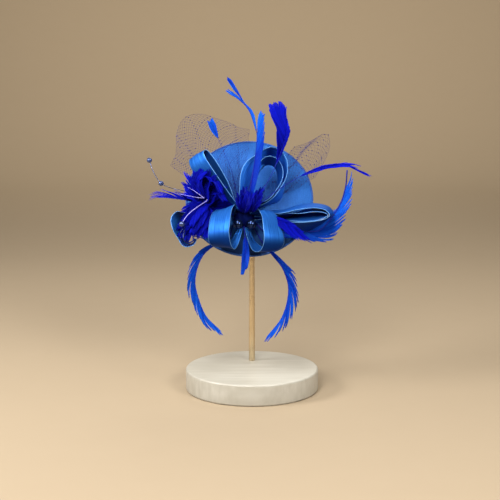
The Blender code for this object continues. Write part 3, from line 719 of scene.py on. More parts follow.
@dataclass(frozen=True)
class Ribbon:
    """A satin ribbon from one root through its folds to another root, or to a free end.

    It is gathered to its root widths there. Its relief is a crown over its width, and pleats and a
    crease that fade away from its roots. Painted shade darkens its colour as its faces turn from the light
    above.
    """

    name: str
    roots: tuple
    folds: tuple
    phase: float = 0.0
    # Painted shade: how far down a face may turn before its colour darkens, and how much painted light or
    # shade the whole ribbon takes.
    painted_shade_from: float = -0.6
    painted_light_and_shade: float = 1.0
    pleats: float = 2.5
    root_widths: tuple = (7.0, 5.0)
    wall: float = 0.5
    steps: int = 150
    crown: float = 0.8
    pleat: float = 0.9
    pleat_fade: float = 9.0
    crease: float = 0.25
    crease_fade: float = 20.0
    creases: float = 1.6
    crease_twist: float = 5.0
    ripple: float = 0.07
    ripple_waves: tuple = (17, 4, 6)
    # Over how much turn the painted shade comes in.
    painted_shade_over: float = 0.95
    columns: int = 16
    reach: float = 0.02

    def edge_lines(self) -> tuple:
        """The near and far edges and the middle of the ribbon, as even lines of points."""
        near, far = (list(side) for side in zip(*(Fold(*row).edges() for row in self.folds)))
        for root, index in zip(self.roots, (0, -1)):
            out = unit(root[1] - root[0])
            spread = far[index] - near[index]
            spread = unit(spread - out * spread.dot(out))
            for point, width in zip(reversed(root), self.root_widths):
                place = 0 if index == 0 else len(near)
                near.insert(place, point - spread * width / 2)
                far.insert(place, point + spread * width / 2)
        middle = [(a + b) / 2 for a, b in zip(near, far)]
        return tuple(smooth_path(line) for line in (near, far, middle))

    def relief(self, along: np.ndarray, over: np.ndarray, length: float) -> np.ndarray:
        """How far the satin stands out from its flat sheet.

        Args:
            along: The share of its length.
            over: The share of its width.
            length: Its length.

        Returns:
            The distances in millimetres.
        """
        from_root = along * length
        if len(self.roots) > 1:
            from_root = np.minimum(from_root, (1 - along) * length)
        crown = self.crown * np.sin(math.pi * over)
        pleats = self.pleat * np.exp(-from_root / self.pleat_fade)
        pleats = pleats * np.sin(2 * math.pi * self.pleats * over + self.phase)
        crease = np.exp(-from_root / self.crease_fade) * self.crease
        crease = crease * np.sin(2 * math.pi * self.creases * over + self.phase + along * self.crease_twist)
        lengthwise, across, slanting = self.ripple_waves
        ripple = self.ripple * np.sin(along * lengthwise + self.phase)
        ripple = ripple * np.sin(over * across + along * slanting + self.phase * 2)
        return crown + pleats + crease + ripple

    def build(self, room: Workroom) -> None:
        """Lofts the ribbon, pleats it at its roots and gives it its wall."""
        near, far, middle = self.edge_lines()
        length = line_length(middle)
        obj = grid(f"{self.name}_satin", self.steps, self.columns)
        along, over = (get_points(obj)[:, :2] + 0.5).T
        a, b, centre = read(near, along), read(far, along), read(middle, along)
        normal = unit(np.cross(ahead_of(middle, along, self.reach), b - a))
        share = over[:, None]
        points = ((centre + (b - a) * (share - 0.5)) + (a + (b - a) * share)) / 2
        set_points(obj, to_part(points + normal * self.relief(along, over, length)[:, None]))
        # Painted shade: faces that turn down, away from the light above, are darkened, then scaled by the
        # ribbon's share of painted light or shade.
        normal = normal * np.where(normal @ PART_FRONT < 0, -1.0, 1.0)[:, None]
        tone = smooth_step(self.painted_shade_from, self.painted_shade_from + self.painted_shade_over, normal @ PART_UP)
        write_values(obj, tone=tone * self.painted_light_and_shade, edge=np.abs(over * 2 - 1), along=along * length * MM)
        thicken(obj, self.wall)
        soften(obj)
        room.dress(obj, "blue_satin", self.name)
        cut = max(Fold(*row).width for row in self.folds)
        cut * MM


# Each ribbon's last values set where its painted shade begins and how much painted light or shade it takes.
RIBBONS = (
    Ribbon(
        "ribbon_upper_left",
        (KNOT.root(142, 52), KNOT.root(146, 30)),
        (
            (-23, -9, 33, -8, 0, 17), (-38, 11, 42, -17, -2), (-48, 26, 46, -17, -4), (-51, 36, 45, -17, -2),
            (-46, 38, 42, -17, -2), (-35, 23, 39, -16, -2), (-22, 0, 31, -9, -2, 15),
        ),
    ),
    Ribbon(
        "ribbon_top_outer",
        (KNOT.root(114, 46), KNOT.root(38, 42)),
        (
            (-11, -7, 35, 12, 5, 18), (-10, 9, 42, 20, 6), (-4, 22, 45, 20, 3), (9, 32, 47, 10, -2),
            (23, 40, 48, -1, 0), (34, 36, 48, -5, -1), (42, 23, 47, -8, 2), (41, 4, 45, -3, 4),
            (30, -13, 38, 7, 5, 22), (17, -21, 30, 8, 4, 14),
        ),
        phase=1.0, painted_shade_from=-1.2, painted_light_and_shade=1.45,
    ),
    Ribbon(
        "ribbon_top_inner",
        (KNOT.root(88, 40), KNOT.root(58, 36)),
        (
            (2, -13, 35, 2, 1, 15), (4, -2, 41, 1, 0, 19), (8.5, 16, 43.5, 1, 0, 20),
            (17, 28.5, 45, 0, -1, 20), (28, 28.5, 45.5, -2, -1, 20), (36, 18.5, 45, -5, 0, 20),
            (37, 4.5, 43.5, -6, 0, 20), (30, -8.5, 39, -3, 1, 18), (20, -18, 33, 0, 1, 14),
        ),
        phase=2.0, painted_shade_from=-1.2, painted_light_and_shade=0.35,
    ),
    Ribbon(
        "ribbon_front_left",
        (KNOT.root(172, 34), KNOT.root(-110, 10)),
        (
            (-14, -22, 30, -20, -2, 23), (-18, -29, 38, -21, 1), (-20, -39, 43, -22, 3),
            (-21, -50, 46, -23, 2), (-22, -61, 45, -23, 0), (-21, -70, 40, -23, 2), (-19, -75, 33, -21, 6),
            (-16, -74, 25, -16, 7, 20), (-12, -64, 18, -11, 3, 13),
        ),
        phase=0.6, painted_shade_from=-0.3, painted_light_and_shade=0.85,
    ),
    Ribbon(
        "ribbon_front_right",
        (KNOT.root(-2, 52), KNOT.root(-78, 14)),
        (
            (8, -29, 32, 15, 0, 16), (12, -36, 37, 17, 2, 19), (14, -45, 42, 20, 4), (15, -56, 45, 21, 3),
            (16, -67, 44, 22, 3), (15, -75, 39, 22, 4), (11, -79, 31, 19, 5, 22), (4, -75, 23, 15, 5, 18),
            (-1, -61, 17, 8, 2, 11),
        ),
        phase=2.6, painted_shade_from=-0.4, painted_light_and_shade=0.85,
    ),
    Ribbon(
        "ribbon_side_outer",
        (KNOT.root(24, 32), KNOT.root(-27, 24)),
        (
            (17, -28, 22, 1, 4, 8), (27, -31, 24, 0, 8, 11), (38, -34, 33, -1, 12, 22),
            (56, -32, 38, 1, 15), (72, -31, 39, 1, 15), (83, -33, 38, 5, 14), (88, -39, 37, 6, 12),
            (80, -44, 36, 7, 10), (62, -46, 35, 4, 0, 24), (45, -44, 30, 3, -2, 15),
            (30, -40, 22, 2, -2, 11), (17, -36, 20, 1, -1, 7),
        ),
        phase=1.7, painted_light_and_shade=0.6,
    ),
    Ribbon(
        "ribbon_side_inner",
        (KNOT.root(8, 30), KNOT.root(-10, 28)),
        (
            (17, -31, 21, 1, 1, 7), (28, -33, 23, 1, 2, 11), (43, -34, 32, 2, 1, 20),
            (56, -35.5, 34, 2, 13, 24), (69, -34, 35.5, 2, 14, 24), (81, -35, 36, 2, 14, 24),
            (86.3, -39, 36, 2, 15, 23), (75, -43.4, 34, 1, 17, 23), (60, -43.6, 31, 1, 16, 21),
            (45, -41.2, 27, 1, 12, 17), (30, -37, 21, 1, 0, 9), (17, -34, 20, 1, 0, 7),
        ),
        phase=0.3, painted_light_and_shade=0.4, pleats=1.5,
    ),
    Ribbon(
        "ribbon_tail",
        (PAD.root(238, 14),),
        (
            (-65, -27, 17, 0, 4, 12), (-73, -29, 23, 2, 5, 19), (-81, -30, 27, 6, 5, 22),
            (-87, -38, 27, 13, 3), (-85, -50, 25, 15, 4), (-79, -60, 22, 12, 8), (-74, -67, 20, 6, 12),
            (-68, -69, 19, 1, 13), (-61, -66, 19, -2, 11, 23), (-58, -60, 20, -4, 8, 20),
        ),
        phase=1.2, painted_light_and_shade=0.7,
    ),
)


# Feathers


@dataclass(frozen=True)
class Disorder:
    """How far barbs stray, each on its own and by whole clumps: in length, angle, lift and tone."""

    length: tuple = (0.015, 0.08)
    angle: tuple = (0.5, 2.2)
    lift: tuple = (0.04, 0.35)
    tone: tuple = (0.09, 0.11)


@dataclass(frozen=True)
class Feather:
    """A feather: its quill, the shares of it between which it has a vane, and how its barbs lie.

    The rows of left, right and sweep each give a share of the vane's run and a value: the length of
    the barbs on that hand in millimetres, and their angle from the quill in degrees. Barbs hold
    together in clumps, whose tips are drawn in by gather and whose outer barbs are shorter by
    notch. follow says how much they bend with the quill. The three curves say how late along a
    barb its turn out of the quill, its drawing in and its taper come.
    """

    name: str
    look: str
    root: tuple
    quill: tuple
    span: tuple
    left: tuple
    right: tuple
    sweep: tuple
    node: str = ""
    slot: str = ""
    clump: int = 12
    loose: float = 0.5
    gather: tuple = (0.5, 0.5)
    shade: tuple = (0.3, 0.7)
    spacing: float = 0.45
    barb: float = 0.95
    taper: float = 0.8
    roll: float = 0.0
    follow: float = 1.0
    quill_radius: float = 0.55
    quill_end: float = 0.25
    quill_to: float = 1.0
    segments: int = 6
    wall: float = 0.12
    root_angle: float = 14.0
    rise: float = 0.22
    edge_rise: float = 0.07
    notch: float = 0.9
    curves: tuple = (0.6, 1.4, 1.8)
    fewest: int = 12
    quill_points: int = 61
    reach: float = 0.015
    stray: Disorder = Disorder()

    def line(self) -> np.ndarray:
        """The quill's middle, evenly."""
        return smooth_path((*self.root, *self.quill))

    def frame_at(self, line: np.ndarray, at: np.ndarray) -> tuple:
        """The quill's place and its own directions.

        Args:
            line: The quill's middle.
            at: Shares along it, which may run on past its tip.

        Returns:
            The places, and the directions ahead, to the left and out of the vane.
        """
        inside = np.clip(at, 0, 1)
        ahead = ahead_of(line, inside, self.reach)
        places = read(line, inside) + ahead * ((at - inside) * line_length(line))[:, None]
        side = unit(np.cross(HAT_FACE, ahead))
        normal = np.cross(ahead, side)
        cos, sin = math.cos(math.radians(self.roll)), math.sin(math.radians(self.roll))
        return places, ahead, side * cos + normal * sin, normal * cos - side * sin

    def strips(self, name: str, count: int) -> tuple:
        """Cuts a grid into separate thin strips, one for each barb.

        Args:
            name: The object's name.
            count: How many strips there are.

        Returns:
            The object, and for each of its points the strip's number, its edge as -1 or 1, and the
            share of its length.
        """
        columns = 2 * count - 1
        obj = grid(name, columns, self.segments)
        column = np.floor((listed(obj.data.polygons, "center", 3)[:, 0] + 0.5) * columns).astype(int)
        pick(obj, "polygons", column % 2 == 1)
        select(obj)
        with editing(everything=False):
            bpy.ops.mesh.select_mode(type="FACE")
            bpy.ops.mesh.delete(type="FACE")
        flat = get_points(obj)
        column = np.rint((flat[:, 0] + 0.5) * columns).astype(int)
        return obj, column // 2, column % 2 * 2 - 1, flat[:, 1] + 0.5

    def side(self, hand: Hand, seed: int) -> bpy.types.Object:
        """The barbs down one side of the quill.

        Args:
            hand: The side.
            seed: Sets the small differences between barbs.

        Returns:
            The barbs as one object of separate thin strips.
        """
        random = np.random.default_rng(seed)
        line = self.line()
        full = line_length(line)
        run = self.span[1] - self.span[0]
        count = max(int(full * run / self.spacing), self.fewest)
        obj, barb, edge, out = self.strips(f"{self.name}_{hand.name.lower()}", count)
        share = (barb + 0.5) / count
        single = random.normal(size=(4, count))[:, barb]
        clumps = random.normal(size=(4, count // self.clump + 2))[:, barb // self.clump]
        within = (barb % self.clump + 0.5) / self.clump - 0.5
        stray, loose = self.stray, self.loose
        turning, drawing, tapering = self.curves
        length = np.interp(share, *zip(*(self.left if hand is Hand.LEFT else self.right)))
        length = length * (1 + stray.length[0] * single[0] + stray.length[1] * loose * clumps[0])
        length = length * (1 - self.notch * loose * within**2)
        turned = stray.angle[0] * single[1] + stray.angle[1] * clumps[1]
        sweep = np.interp(share, *zip(*self.sweep)) + loose * turned
        angle = np.radians(sweep + self.root_angle * (1 - out**turning))
        drawn = np.interp(share, (0, 1), self.gather) * within * self.clump * self.spacing * out**drawing
        forward = length * out * np.cos(angle) - drawn
        beside = length * out * np.sin(angle) * hand.value
        start = self.span[0] + run * share
        places, ahead, side, normal = self.frame_at(line, start + self.follow * forward / full)
        lift = self.rise * np.abs(beside) + stray.lift[1] * loose * clumps[2] * out**2
        width = self.barb * (1 - self.taper * out**tapering)
        forward = forward * (1 - self.follow) + np.sin(angle) * edge * width / 2
        beside = beside - np.cos(angle) * hand.value * edge * width / 2
        lift = lift + self.edge_rise * edge + stray.lift[0] * single[2]
        points = places + ahead * forward[:, None] + side * beside[:, None] + normal * lift[:, None]
        set_points(obj, to_part(points))
        tone = np.interp(share, (0, 1), self.shade) + stray.tone[0] * single[3] + stray.tone[1] * clumps[3]
        write_values(obj, strand=np.clip(tone, 0, 1), reach=out)
        thicken(obj, self.wall)
        return obj

    def sides(self, seed: int) -> list:
        """The barbs on both sides of the quill."""
        return [self.side(hand, seed * 7 + hand.value) for hand in Hand]

    def stem(self) -> bpy.types.Object:
        """The bare quill and its run through the vane."""
        line = read(self.line(), np.linspace(0, self.quill_to, self.quill_points))
        return tube(f"{self.name}_quill", line, self.quill_radius * np.linspace(1, self.quill_end, len(line)))

    def build(self, room: Workroom, seed: int) -> None:
        """Builds the vane and the quill and finishes them.

        Args:
            room: Where they are finished.
            seed: Sets the small differences between barbs.
        """
        vane = joined(f"{self.name}_vane", self.sides(seed))
        soften(vane)
        slot = self.slot or self.look
        room.dress(vane, self.look, self.node or self.name, slot=slot)
        room.dress(self.stem(), "dark_quill", slot=slot)


# The long plumes that stand or hang round the hat
PLUMES = (
    Feather(
        "plume_tall", "blue_feather", KNOT.root(70, 82),
        ((2, -4, 44), (7, 30, 55), (8.8, 52, 58), (9.6, 68, 58), (12, 79, 58)), (0.03, 0.95),
        left=((0, 22), (0.2, 34), (0.5, 32), (0.8, 27), (0.93, 16), (1, 5)),
        right=((0, 18), (0.2, 32), (0.5, 32), (0.8, 27), (0.93, 14), (1, 8)),
        sweep=((0, 13), (0.5, 15), (0.75, 14), (0.9, 7), (1, 1)),
        clump=16, loose=0.25, gather=(0.2, 0.5), shade=(-0.7, 0.7), quill_to=0.97,
    ),
    Feather(
        "plume_forked", "blue_feather", KNOT.root(115, 74),
        (
            (2, 3, 40), (7, 30, 51), (8.5, 51, 52), (6, 64, 52), (1, 81, 52), (-4, 90, 52), (-11, 103, 51),
            (-27.5, 133, 51),
        ), (0.54, 0.95),
        left=((0, 0.5), (0.66, 0.5), (0.72, 9), (0.88, 10), (1, 4)),
        right=((0, 6), (0.1, 13), (0.3, 9), (0.5, 3), (0.7, 7), (0.85, 9), (1, 4)),
        sweep=((0, 15), (0.7, 15), (0.9, 13), (1, 3)),
        clump=24, loose=0.15, gather=(0.05, 0.05), shade=(0.6, -0.05), quill_to=0.98,
    ),
    Feather(
        "plume_forked_branch", "blue_feather", ((-2.5, 87.5, 52), (-6.1, 92.6, 52)),
        ((-15.2, 101.1, 52), (-24.3, 106.9, 51)), (0.1, 0.85),
        left=((0, 0.5), (1, 0.5)),
        right=((0, 4), (0.4, 10), (0.8, 13), (1, 10)),
        sweep=((0, 14), (0.7, 22), (1, 10)),
        node="plume_forked", clump=5, gather=(0.8, 0.8), shade=(0.25, 0.5), spacing=0.4, quill_radius=0.4,
    ),
    Feather(
        "plume_fan", "royal_feather", KNOT.root(50, 64),
        ((14, -11, 40), (25, 6, 50), (33.5, 27, 53), (38.5, 44, 52.5), (41.5, 58, 52), (42.5, 80, 50)),
        (0.5, 0.93),
        left=((0, 10), (0.2, 24), (0.4, 29), (0.5, 43), (0.65, 44), (0.8, 38), (1, 20)),
        right=((0, 3), (0.4, 7), (0.7, 9), (0.9, 6), (1, 3)),
        sweep=((0, 14), (0.2, 24), (0.45, 28), (0.62, 28), (0.75, 18), (0.9, 8), (1, 4)),
        clump=18, loose=0.25, gather=(0.25, 0.35), shade=(0.05, 0.45), spacing=0.3, barb=1.3, taper=0.4,
        follow=0.7, quill_to=0.99,
    ),
    Feather(
        "plume_side", "royal_feather", KNOT.root(14, 62),
        ((28, -14, 44), (56, 3, 48), (78, 13.5, 46), (93, 17.5, 45), (112, 19.5, 43), (128, 16, 41)),
        (0.5, 0.88),
        left=((0, 6), (0.2, 15), (0.8, 15), (1, 18)),
        right=((0, 6), (0.2, 15), (0.8, 15), (1, 14)),
        sweep=((0, 10), (0.8, 9), (1, 6)),
        slot="blue_feather", clump=14, loose=0.3, gather=(0.1, 0.8), shade=(0.35, 0.75), quill_to=0.93,
    ),
    Feather(
        "plume_side_branch", "royal_feather", ((106, 19, 44), (110, 18.3, 43.5)),
        ((117, 15.5, 42.5), (126, 11, 41.5), (133, 7.5, 41)), (0.1, 0.9),
        left=((0, 3), (0.5, 9), (1, 6)),
        right=((0, 3), (0.5, 7), (1, 5)),
        sweep=((0, 10), (1, 8)),
        node="plume_side", slot="blue_feather", clump=8, loose=0.4, gather=(0.8, 0.8), shade=(0.3, 0.6),
        quill_radius=0.35,
    ),
    Feather(
        "plume_sweeping", "blue_feather", KNOT.root(-32, 4),
        (
            (15, -46, 13), (29, -46, 10.6), (46, -44, 9), (62, -45, 7), (79, -43, 6), (93, -28, 8),
            (103, -12, 11), (109, 7, 14), (111, 26, 18),
        ), (0.08, 0.86),
        left=((0, 4), (0.2, 14), (0.4, 24), (0.6, 18), (0.75, 4), (1, 1)),
        right=((0, 22), (0.15, 34), (0.5, 33), (0.7, 29), (0.88, 26), (1, 20)),
        sweep=((0, 24), (0.4, 23), (0.65, 19), (1, 13)),
        clump=13, gather=(0.35, 1.0), shade=(0.02, 0.6), spacing=0.4, barb=1.15, follow=0.45,
        quill_radius=0.9, quill_end=0.85,
    ),
    Feather(
        "plume_sweeping_near", "royal_feather", KNOT.root(-20, 24),
        ((19, -36, 24), (30, -41, 30), (40, -47, 34), (49, -53, 34.5), (58, -57.5, 33)), (0.3, 0.98),
        left=((0, 8), (0.5, 10), (1, 4)),
        right=((0, 16), (0.4, 30), (1, 14)),
        sweep=((0, 28), (0.6, 25), (1, 14)),
        node="plume_sweeping", slot="blue_feather", clump=10, loose=0.4, gather=(0.5, 0.7),
        shade=(0.2, 0.45), spacing=0.35, barb=1.15, quill_radius=0.35, quill_to=0.98,
    ),
    Feather(
        "plume_hanging_left", "blue_feather", KNOT.root(-145, 8),
        (
            (-24, -56, 10), (-43, -65, 7), (-54, -77, 4), (-60, -96, 0), (-59, -112, -6), (-49, -137, -14),
            (-33, -153, -19),
        ), (0.22, 0.99),
        left=((0, 2), (1, 3)),
        right=((0, 20), (0.15, 29), (0.7, 28), (0.85, 22), (1, 7)),
        sweep=((0, 15), (0.6, 14), (1, 7)),
        loose=0.45, gather=(0.95, 0.8), shade=(0.2, 0.5), follow=0.6, quill_radius=0.7,
    ),
    Feather(
        "plume_hanging_right", "blue_feather", KNOT.root(-50, 4),
        (
            (10, -52, 12), (17, -63, 9), (25, -73, 7), (38, -90, 2), (43.5, -112, -6), (36.5, -138.5, -15),
            (18.8, -161, -21),
        ), (0.2, 0.99),
        left=((0, 30), (0.25, 35), (0.6, 31), (0.85, 22), (1, 6)),
        right=((0, 2), (1, 2)),
        sweep=((0, 9), (0.4, 11), (0.8, 11), (1, 5)),
        loose=0.8, gather=(1.5, 1.2), shade=(0.15, 0.3), follow=0.3, quill_radius=0.7,
    ),
    Feather(
        "plume_short", "blue_feather", KNOT.root(-94, 27),
        ((-5, -56, 21), (-3.8, -78, 26), (-6, -103, 25)), (0.24, 0.97),
        left=((0, 12), (0.3, 17), (0.6, 14), (0.8, 6), (1, 2)),
        right=((0, 12), (0.3, 17), (0.8, 13), (0.95, 6), (1, 2)),
        sweep=((0, 15), (0.8, 14), (1, 5)),
        clump=40, loose=0.12, gather=(0.05, 0.05), shade=(0.02, 0.22), spacing=0.35, quill_to=0.95,
    ),
    Feather(
        "plume_left", "royal_feather", PAD.root(180, 26),
        ((-69, -11.6, 18), (-87, -11.7, 24), (-102, -12.5, 27), (-112, -16.2, 28)), (0.05, 0.78),
        left=((0, 3), (1, 1.5)),
        right=((0, 18), (0.5, 24), (0.8, 18), (1, 9)),
        sweep=((0, 26), (0.6, 17), (1, 9)),
        slot="blue_feather", clump=3, loose=1.0, gather=(0.9, 0.9), shade=(0.25, 0.8), spacing=0.5,
        barb=0.55, follow=0.8,
    ),
    Feather(
        "plume_leaf", "blue_feather", KNOT.root(128, 36),
        ((-13, -12, 20), (-20, 24, 20), (-28, 46, 19), (-35, 64, 18), (-40.5, 80, 17.5), (-44, 95, 17)),
        (0.77, 0.97),
        left=((0, 14), (0.3, 18), (0.45, 12), (0.65, 9), (0.85, 5), (1, 3)),
        right=((0, 6), (0.3, 10), (0.65, 8), (1, 3)),
        sweep=((0, 20), (0.45, 17), (0.8, 9), (1, 2)),
        clump=40, loose=0.1, gather=(0.05, 0.05), shade=(0.25, 0.35), spacing=0.4, quill_radius=0.35,
        quill_to=0.98,
    ),
)

# The dark tuft of short feathers that covers the knot's top: the first, then where the others differ
TUFT_ROW = ((0, 12), (0.4, 14), (0.7, 11), (1, 3))
TUFT = Feather(
    "plume_tuft", "royal_feather", ((-5, -31, 28), (-5, -29, 33)),
    ((-6, -25, 37), (-6, -17, 41), (-5, -9, 44)), (0.0, 0.93),
    left=TUFT_ROW,
    right=TUFT_ROW,
    sweep=((0, 26), (0.5, 18), (1, 6)),
    node="plume_tuft", clump=30, loose=0.12, shade=(-0.1, 0.08), spacing=0.3, barb=1.2, quill_to=0.95,
)
TUFT_OTHERS = (
    ("right", ((0, -31, 28), (2, -28, 33)), ((5, -22, 37), (10, -15, 40), (14, -9, 42))),
    ("middle", ((-2, -31, 29), (-1, -29, 35)), ((0, -25, 40), (1, -21, 42), (2, -17, 43))),
    ("low", ((-7, -31, 28), (-8, -30, 32)), ((-9, -26, 36), (-10, -22, 38), (-10, -18, 40))),
    ("near", ((-5, -33, 30), (-4, -31, 36)), ((-3, -27, 40), (-2, -23, 42), (-2, -20, 43))),
    ("far", ((2, -31, 28), (4, -30, 33)), ((6, -27, 37), (8, -24, 38), (10, -20, 39))),
)


@dataclass
class Plumes:
    """All the single plumes, the tuft among them."""

    first_seed: int = 3

    def build(self, room: Workroom) -> None:
        """Builds each plume."""
        tufts = (
            replace(TUFT, name=f"plume_tuft_{where}", root=root, quill=quill)
            for where, root, quill in TUFT_OTHERS
        )
        for seed, feather in enumerate((*PLUMES, TUFT, *tufts), self.first_seed):
            feather.build(room, seed)


@dataclass(frozen=True)
class Hackle:
    """One dark hackle of the cluster: its path, its half width, its tone, its roll and its looseness."""

    path: tuple
    spread: float
    shade: tuple
    roll: float = 0.0
    loose: float = 0.12
    barb_slant: float = 0.36

    def feather(self, number: int) -> Feather:
        """The hackle as a feather that grows from the pad.

        Args:
            number: Its number in the cluster.

        Returns:
            The feather.
        """
        start = PAD.centre + HAT_FACE * PAD.size[2] / 2
        barbs = self.spread / self.barb_slant
        row = ((0, barbs * 0.5), (0.3, barbs), (0.75, barbs * 0.95), (1, barbs * 0.35))
        return Feather(
            f"hackle_{number}", "royal_feather", (start, start + unit(np.array(self.path[0]) - start) * 3),
            self.path, (0.15, 0.97),
            left=row,
            right=row,
            sweep=((0, 24), (0.7, 20), (1, 6)),
            clump=20, loose=self.loose, gather=(0.2, 0.3), shade=self.shade, roll=self.roll,
            quill_radius=0.35, segments=5,
        )


# The cluster's hackles, from the back to the front
HACKLES = (
    (((-40, -14, 18), (-34, -11, 20), (-30, -10, 21)), 8, (0.0, 0.1)),
    (((-40, -20, 18), (-33, -21, 20), (-28, -23, 21)), 8, (0.0, 0.1)),
    (((-44, -8, 20), (-40, -2, 23), (-36, 1, 24)), 8, (0.0, 0.1)),
    (((-50, -4, 24), (-49, 2, 31), (-46, 5, 35)), 8, (0.0, 0.1)),
    (((-46, -10, 26), (-42, -6, 32), (-38, -7, 34)), 7, (0.0, 0.1)),
    (((-42, -24, 18), (-38, -34, 20), (-40, -42, 20)), 8, (0.0, 0.2)),
    (((-57, -4, 18), (-60, 2, 22), (-62, 7, 24)), 8, (0.1, 0.6), 10, 0.5),
    (((-55, -2, 20), (-57, 5, 25), (-57, 10, 27)), 7, (0.05, 0.5), 0, 0.4),
    (((-57, -9, 18), (-62, -3, 22), (-65, 1, 24)), 7, (0.1, 0.45), 0, 0.6),
    (((-59, -12, 18), (-64, -9, 22), (-69, -7, 24)), 5, (0.1, 0.6), 0, 0.8),
    (((-57, -20, 24), (-62, -24, 28), (-66, -29, 30)), 7, (0.0, 0.35)),
    (((-58, -28, 22), (-67, -38, 25), (-73, -49, 25)), 7, (0.0, 0.15)),
    (((-56, -26, 24), (-64, -35, 28), (-70, -46, 29)), 8, (0.0, 0.25), 10),
    (((-54, -28, 22), (-63, -42, 25), (-70, -56, 25)), 8, (0.0, 0.2)),
    (((-56, -7, 26), (-59, 1, 31), (-59, 7, 34), (-55, 11, 36)), 7, (0.1, 0.5), -25, 0.2),
    (((-52, -11, 28), (-55, -1, 34), (-52, 6, 38), (-46, 6, 40), (-42, 0, 40)), 7, (0.1, 0.7), -52, 0.1),
    (((-47, -16, 28), (-47, -6, 35), (-42, 0, 40), (-37, -2, 42), (-34, -9, 41)), 7, (0.1, 0.7), -52, 0.1),
    (((-44, -20, 27), (-39, -14, 34), (-34, -12, 37), (-30, -18, 37)), 6, (0.0, 0.3), -40, 0.1),
    (((-55, -27, 28), (-62, -35, 32), (-66, -43, 33)), 8, (0.0, 0.3), 12),
    (((-48, -32, 27), (-52, -44, 32), (-57, -52, 31)), 9, (0.0, 0.2)),
    (((-52, -31, 31), (-58, -42, 35), (-63, -50, 34)), 9, (0.05, 0.35), -12),
    (((-45, -30, 26), (-44, -43, 30), (-46, -54, 31), (-48, -60, 29)), 5.5, (0.2, 0.8), 0, 0.3),
    (((-50, -24, 32), (-56, -31, 37), (-61, -39, 39), (-65, -46, 38)), 7, (0.1, 0.45), -20),
)


@dataclass
class HackleCluster:
    """The bunch of dark curled hackles at the left, sewn to its pad."""

    first_seed: int = 100
    pad_share: float = 0.98
    pad_tone: float = 0.3
    pale_radii: tuple = (0.3, 0.15)
    pale_points: int = 40
    pale_lines: tuple = (
        ((-50, -16, 33), (-54, -13, 33), (-61, -7, 32), (-69, -1, 30)),
        ((-50, -16, 33), (-57, -15, 32), (-67, -12, 30), (-81, -7, 26)),
    )

    def build(self, room: Workroom) -> None:
        """Builds every hackle and the pad under them."""
        barbs = []
        quills = []
        for number, row in enumerate(HACKLES):
            feather = Hackle(*row).feather(number)
            barbs += feather.sides(self.first_seed + number)
            quills.append(feather.stem())
        cluster = joined("hackle_cluster_barbs", barbs)
        soften(cluster)
        room.dress(cluster, "royal_feather", "hackle_cluster")
        room.dress(joined("hackle_cluster_quills", quills), "dark_quill", slot="royal_feather")
        pale = []
        for number, points in enumerate(self.pale_lines):
            radii = np.linspace(*self.pale_radii, self.pale_points)
            pale.append(tube(f"hackle_pale_quill_{number}", smooth_path(points, len(radii)), radii))
        room.dress(joined("hackle_pale_quills", pale), "pale_quill", slot="royal_feather")
        pad = ball("hackle_pad", segments=40, rings=24)
        write_values(pad, strand=self.pad_tone, reach=0.0)
        PAD.cover(pad, self.pad_share)
        room.dress(pad, "royal_feather")


# Hat, knot and veil


@dataclass
class Hat:
    """The domed disc, its bound rim and what is hidden under it."""

    binding_radius: float = 1.2
    binding_out: float = 0.2
    ridge: float = 0.05
    ridges: float = 120

    def shell(self, room: Workroom) -> None:
        """Cuts the disc from a ball and gives it its wall."""
        obj = ball("hat_disc", segments=160, rings=150, radius=BALL_RADIUS * MM)
        with editing():
            bpy.ops.mesh.bisect(plane_co=(0, 0, BALL_SUNK * MM), plane_no=(0, 0, 1), clear_inner=True)
        points = get_points(obj) / MM
        points[:, 2] -= BALL_SUNK
        set_points(obj, to_part(points))
        apply_modifier(obj, "SOLIDIFY", thickness=HAT_WALL * MM, offset=-1.0)
        soften(obj)
        room.dress(obj, "blue_cloth", "hat_base")

    def binding(self, room: Workroom) -> None:
        """Rolls the bias binding round the rim."""
        radius = HAT_RADIUS + self.binding_out
        sizes = {"major_radius": radius, "minor_radius": self.binding_radius}
        steps = {"major_segments": 320, "minor_segments": 12}
        obj = added("hat_binding", bpy.ops.mesh.primitive_torus_add, **sizes, **steps)
        points = get_points(obj)
        around = np.arctan2(points[:, 1], points[:, 0])
        middle = np.stack((np.cos(around) * radius, np.sin(around) * radius, np.zeros(len(points))), axis=1)
        out = points - middle
        ridge = 1 + self.ridge * np.sin(around * self.ridges + np.arctan2(out[:, 2], 1) * 2)
        points = middle + out * ridge[:, None] - HAT_FACE * self.binding_out
        set_points(obj, to_part(points))
        soften(obj)
        room.dress(obj, "cloth_binding", "rim_binding")

    def build(self, room: Workroom) -> None:
        """Builds the disc and its binding and finishes what is under it."""
        self.shell(room)
        self.binding(room)
        room.repaint("stand_rest", "champagne_brass")
        room.repaint("hair_clip", "clip_steel")


